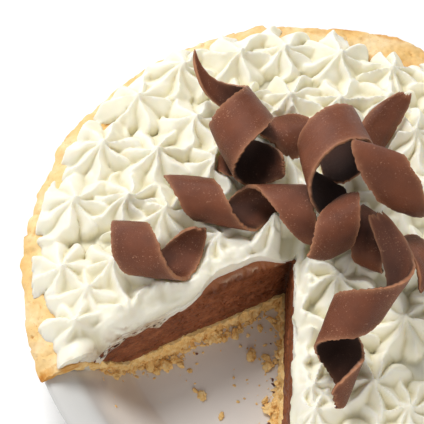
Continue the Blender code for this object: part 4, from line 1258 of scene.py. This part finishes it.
# --------------------------------------------------------------------- build
def main():
    cream_mat, curl_mat, silk_mat = cream_surface(), curl_surface(), filling_surface()
    crust_mat, glaze_mat, bits_mat = crust_surface(), glaze_surface(), bits_surface()

    finished(dish_object(glaze_mat), "dish")

    ribbons, built = [], []
    for k, (name, spec) in enumerate(CURLS.items()):
        ob, grids = curl_mesh(name.replace("curl", "shaving"), spec, curl_mat, 100.0 + 37.0 * k)
        built.append((ob, grids))
        finished(ob, name)
        p = points_of(ob)
        tree = BVHTree.FromObject(ob, bpy.context.evaluated_depsgraph_get())
        ribbons.append((tree, p.min(0), p.max(0)))
    shade_curls(built, [INNER_SHADE.get(name, (1.0,)) for name in CURLS])

    def cream_relief(side, s, z):
        soft = 0.35 * noise(s / 6.0, z / 5.0, 3.0 + side, 81) + 0.12 * noise(s / 1.6, z / 1.4, side, 83)
        bare = smoothstep(5.0, 16.0, s) * (1.0 - smoothstep(32.0, 48.0, s))
        soft = soft + (3.9 * bare if side == 0 else 0.9 + 1.1 * noise(s / 7.0, 2.0, 8.0, 82)
                       + 0.5 * noise(s / 1.9, z / 2.4, 8.0, 84) - 1.6 * np.exp(-((s - 42.0) / 2.2) ** 2))
        if side == 0:
            for at, h, w, d in ((88.0, 40.4, 1.5, 2.0), (91.0, 38.6, 1.2, 1.7), (93.5, 39.6, 1.7, 2.2),
                                (90.0, 36.4, 0.9, 1.3), (95.8, 37.8, 1.0, 1.4), (86.2, 38.0, 0.9, 1.2)):
                soft = soft + d * np.exp(-(((s - at) / w) ** 2 + ((z - h) / (0.62 * w)) ** 2) ** 2)
        return soft

    def silk_relief(side, s, z):
        crack = 1.0 - np.abs(noise(s / 9.0, z / 1.6, side + 6.0, 94))
        return (0.36 * fbm(s / 9.0, z / 4.5, side + 2.0, 3, 91) + 0.26 * fbm(s / 1.9, z / 1.4, side, 2, 93)
                + 0.9 * smoothstep(0.90, 0.99, crack) * smoothstep(0.0, 0.4, noise(s / 8.0, z / 8.0, side, 98))
                + 1.0 * smoothstep(0.58, 0.85, noise(s / 1.7, z / 1.0, side + 5.0, 95))
                + 0.20 * np.maximum(0.0, z - 47.0) ** 2 * smoothstep(0.0, 6.0, s) * (1.0 - smoothstep(44.0, 58.0, s)))

    def crust_relief(side, s, z):
        crumbly = 1.0 - smoothstep(80.0, 90.0, s)
        return ((0.5 + 0.9 * crumbly) * fbm(s / 3.4, z / 3.0, side + 7.0, 3, 97)
                - 0.3)

    cream_tool = slice_tool("cream_tool", 0.45, cream_relief)
    silk_tool = slice_tool("silk_tool", 0.0, silk_relief)
    crust_tool = slice_tool("crust_tool", 0.5, crust_relief)

    cream, stars = cream_object(cream_mat, ribbons, cream_tool)
    p = points_of(cream)
    (al, ol), (ar, orr) = cut_coords(p[:, 0], p[:, 1])
    stain = 0.55 * np.exp(-(((al - 49.0) / 2.2) ** 2 + ((ol - 7.5) / 1.6) ** 2))
    stain = stain + 0.35 * np.exp(-((np.minimum(np.abs(ol), 9.0) / 0.8) ** 2)) * np.clip(
        fbm(al / 5.0, p[:, 2] / 2.5, 1.0, 2, 99), 0, 1) * (p[:, 2] < 46)
    stain = stain + 0.75 * np.exp(-((al - 76.0) / 9.0) ** 2 - (np.minimum(np.abs(ol), 20.0) / 2.6) ** 2) * np.clip(
        0.6 + 0.7 * fbm(al / 3.0, p[:, 2] / 1.5, 1.0, 2, 125), 0, 1) * (p[:, 2] < 50.0)
    stain = stain + 0.55 * np.exp(-((al - 87.0) / 5.0) ** 2 - (np.minimum(np.abs(ol), 20.0) / 2.4) ** 2) * (p[:, 2] < 47.0)
    mark_points(cream, "stain", np.clip(stain, 0, 0.8))
    finished(cream, "whipped_cream")

    smears = cream_smears(cream_mat)
    p = points_of(smears)
    (al, ol), _ = cut_coords(p[:, 0], p[:, 1])
    thin = (np.abs(ol) < 3.0) * smoothstep(54.0, 62.0, al) * (1.0 - 0.6 * smoothstep(80.0, 84.0, al)) \
        * (0.62 + 0.5 * fbm(al / 3.0, p[:, 2] / 0.9, 3.0, 2, 101))
    mark_points(smears, "stain", 0.04 + 0.9 * np.clip(thin, 0, 1))
    finished(smears, None)

    finished(filling_object(silk_mat, silk_tool), "chocolate_filling")
    finished(crust_object(crust_mat, crust_tool), "crust")
    for tool in (cream_tool, silk_tool, crust_tool):
        bpy.data.objects.remove(tool)

    rng = np.random.default_rng(7)
    crumbs = joined_crumbs("crust_crumbs", crumb_places(rng), crust_mat)
    mark_points(crumbs, "browning_and_shade", np.full(len(crumbs.data.vertices), 0.10))
    mark_points(crumbs, "crumb", np.full(len(crumbs.data.vertices), 1.0))
    finished(crumbs, None)
    powder = crumb_powder(crust_mat)
    mark_points(powder, "browning_and_shade", np.full(len(powder.data.vertices), 0.0))
    mark_points(powder, "crumb", np.full(len(powder.data.vertices), 1.0))
    finished(powder, None)

    bits = []
    for x, y, size in ((-10.6, -38.2, 1.0), (-10.2, -41.5, 0.7), (-11.2, -36.0, 0.8), (-12.2, -2.9, 0.5),
                       (-11.6, -4.6, 0.5), (-10.8, -56.0, 0.9), (-44.0, -29.0, 0.6), (-62.0, -36.0, 0.5),
                       (-30.0, -15.4, 0.5), (-13.6, -20.0, 0.4)):
        bits.append((x, y, dish_height(math.hypot(x, y)) - 0.1, size))
    finished(joined_crumbs("filling_bits", bits, bits_mat), None)


def light_and_camera():
    scene = bpy.context.scene
    world = bpy.data.worlds.new("studio")
    scene.world = world
    world.use_nodes = True
    back = world.node_tree.nodes["Background"]
    back.inputs["Color"].default_value = (1.0, 1.0, 1.0, 1.0)
    back.inputs["Strength"].default_value = 0.37

    floor = mesh_object("studio_floor", [(-3000, -3000, 0), (3000, -3000, 0), (3000, 3000, 0), (-3000, 3000, 0)],
                        [[0, 1, 2, 3]], smooth=False)
    s = Surface("studio_paper", 0.9)
    s.color(s.ramp(s.noise(3.0, 1.0), [(0.0, (0.93, 0.93, 0.93)), (1.0, (0.95, 0.95, 0.95))]))
    floor.data.materials.append(s.mat)

    def area(name, at, target, size, power, color=(1, 1, 1)):
        data = bpy.data.lights.new(name, "AREA")
        data.shape = "DISK"
        data.size = size
        data.energy = power
        data.color = color
        ob = bpy.data.objects.new(name, data)
        ob.location = at
        ob.rotation_euler = (Vector(target) - Vector(at)).to_track_quat("-Z", "Y").to_euler()
        scene.collection.objects.link(ob)

    area("key", (-0.58, 0.72, 1.32), (0, 0, 0.04), 0.72, 21.0)
    area("fill", (-1.3, -0.1, 0.7), (0, 0, 0.04), 0.8, 2.5)
    area("front", (0.5, -1.5, 0.8), (0, 0, 0.03), 1.0, 9.0, (1.0, 0.97, 0.93))

    cam = bpy.data.cameras.new("camera")
    cam.sensor_width = 36.0
    cam.lens = 1628.0 * 36.0 / 424.0
    cam.clip_start = 0.05
    ob = bpy.data.objects.new("camera", cam)
    right = Vector((0.99122, 0.11784, 0.06004))
    up = Vector((-0.13226, 0.88319, 0.45000))
    back = Vector((0.0, -0.45399, 0.89101))
    m = Matrix((right, up, back)).transposed().to_4x4()
    m.translation = Vector((-0.04553, -0.28595, 0.64080))
    ob.matrix_world = m
    scene.collection.objects.link(ob)
    scene.camera = ob
    scene.view_settings.view_transform = "Standard"
    scene.view_settings.look = "None"


main()
light_and_camera()
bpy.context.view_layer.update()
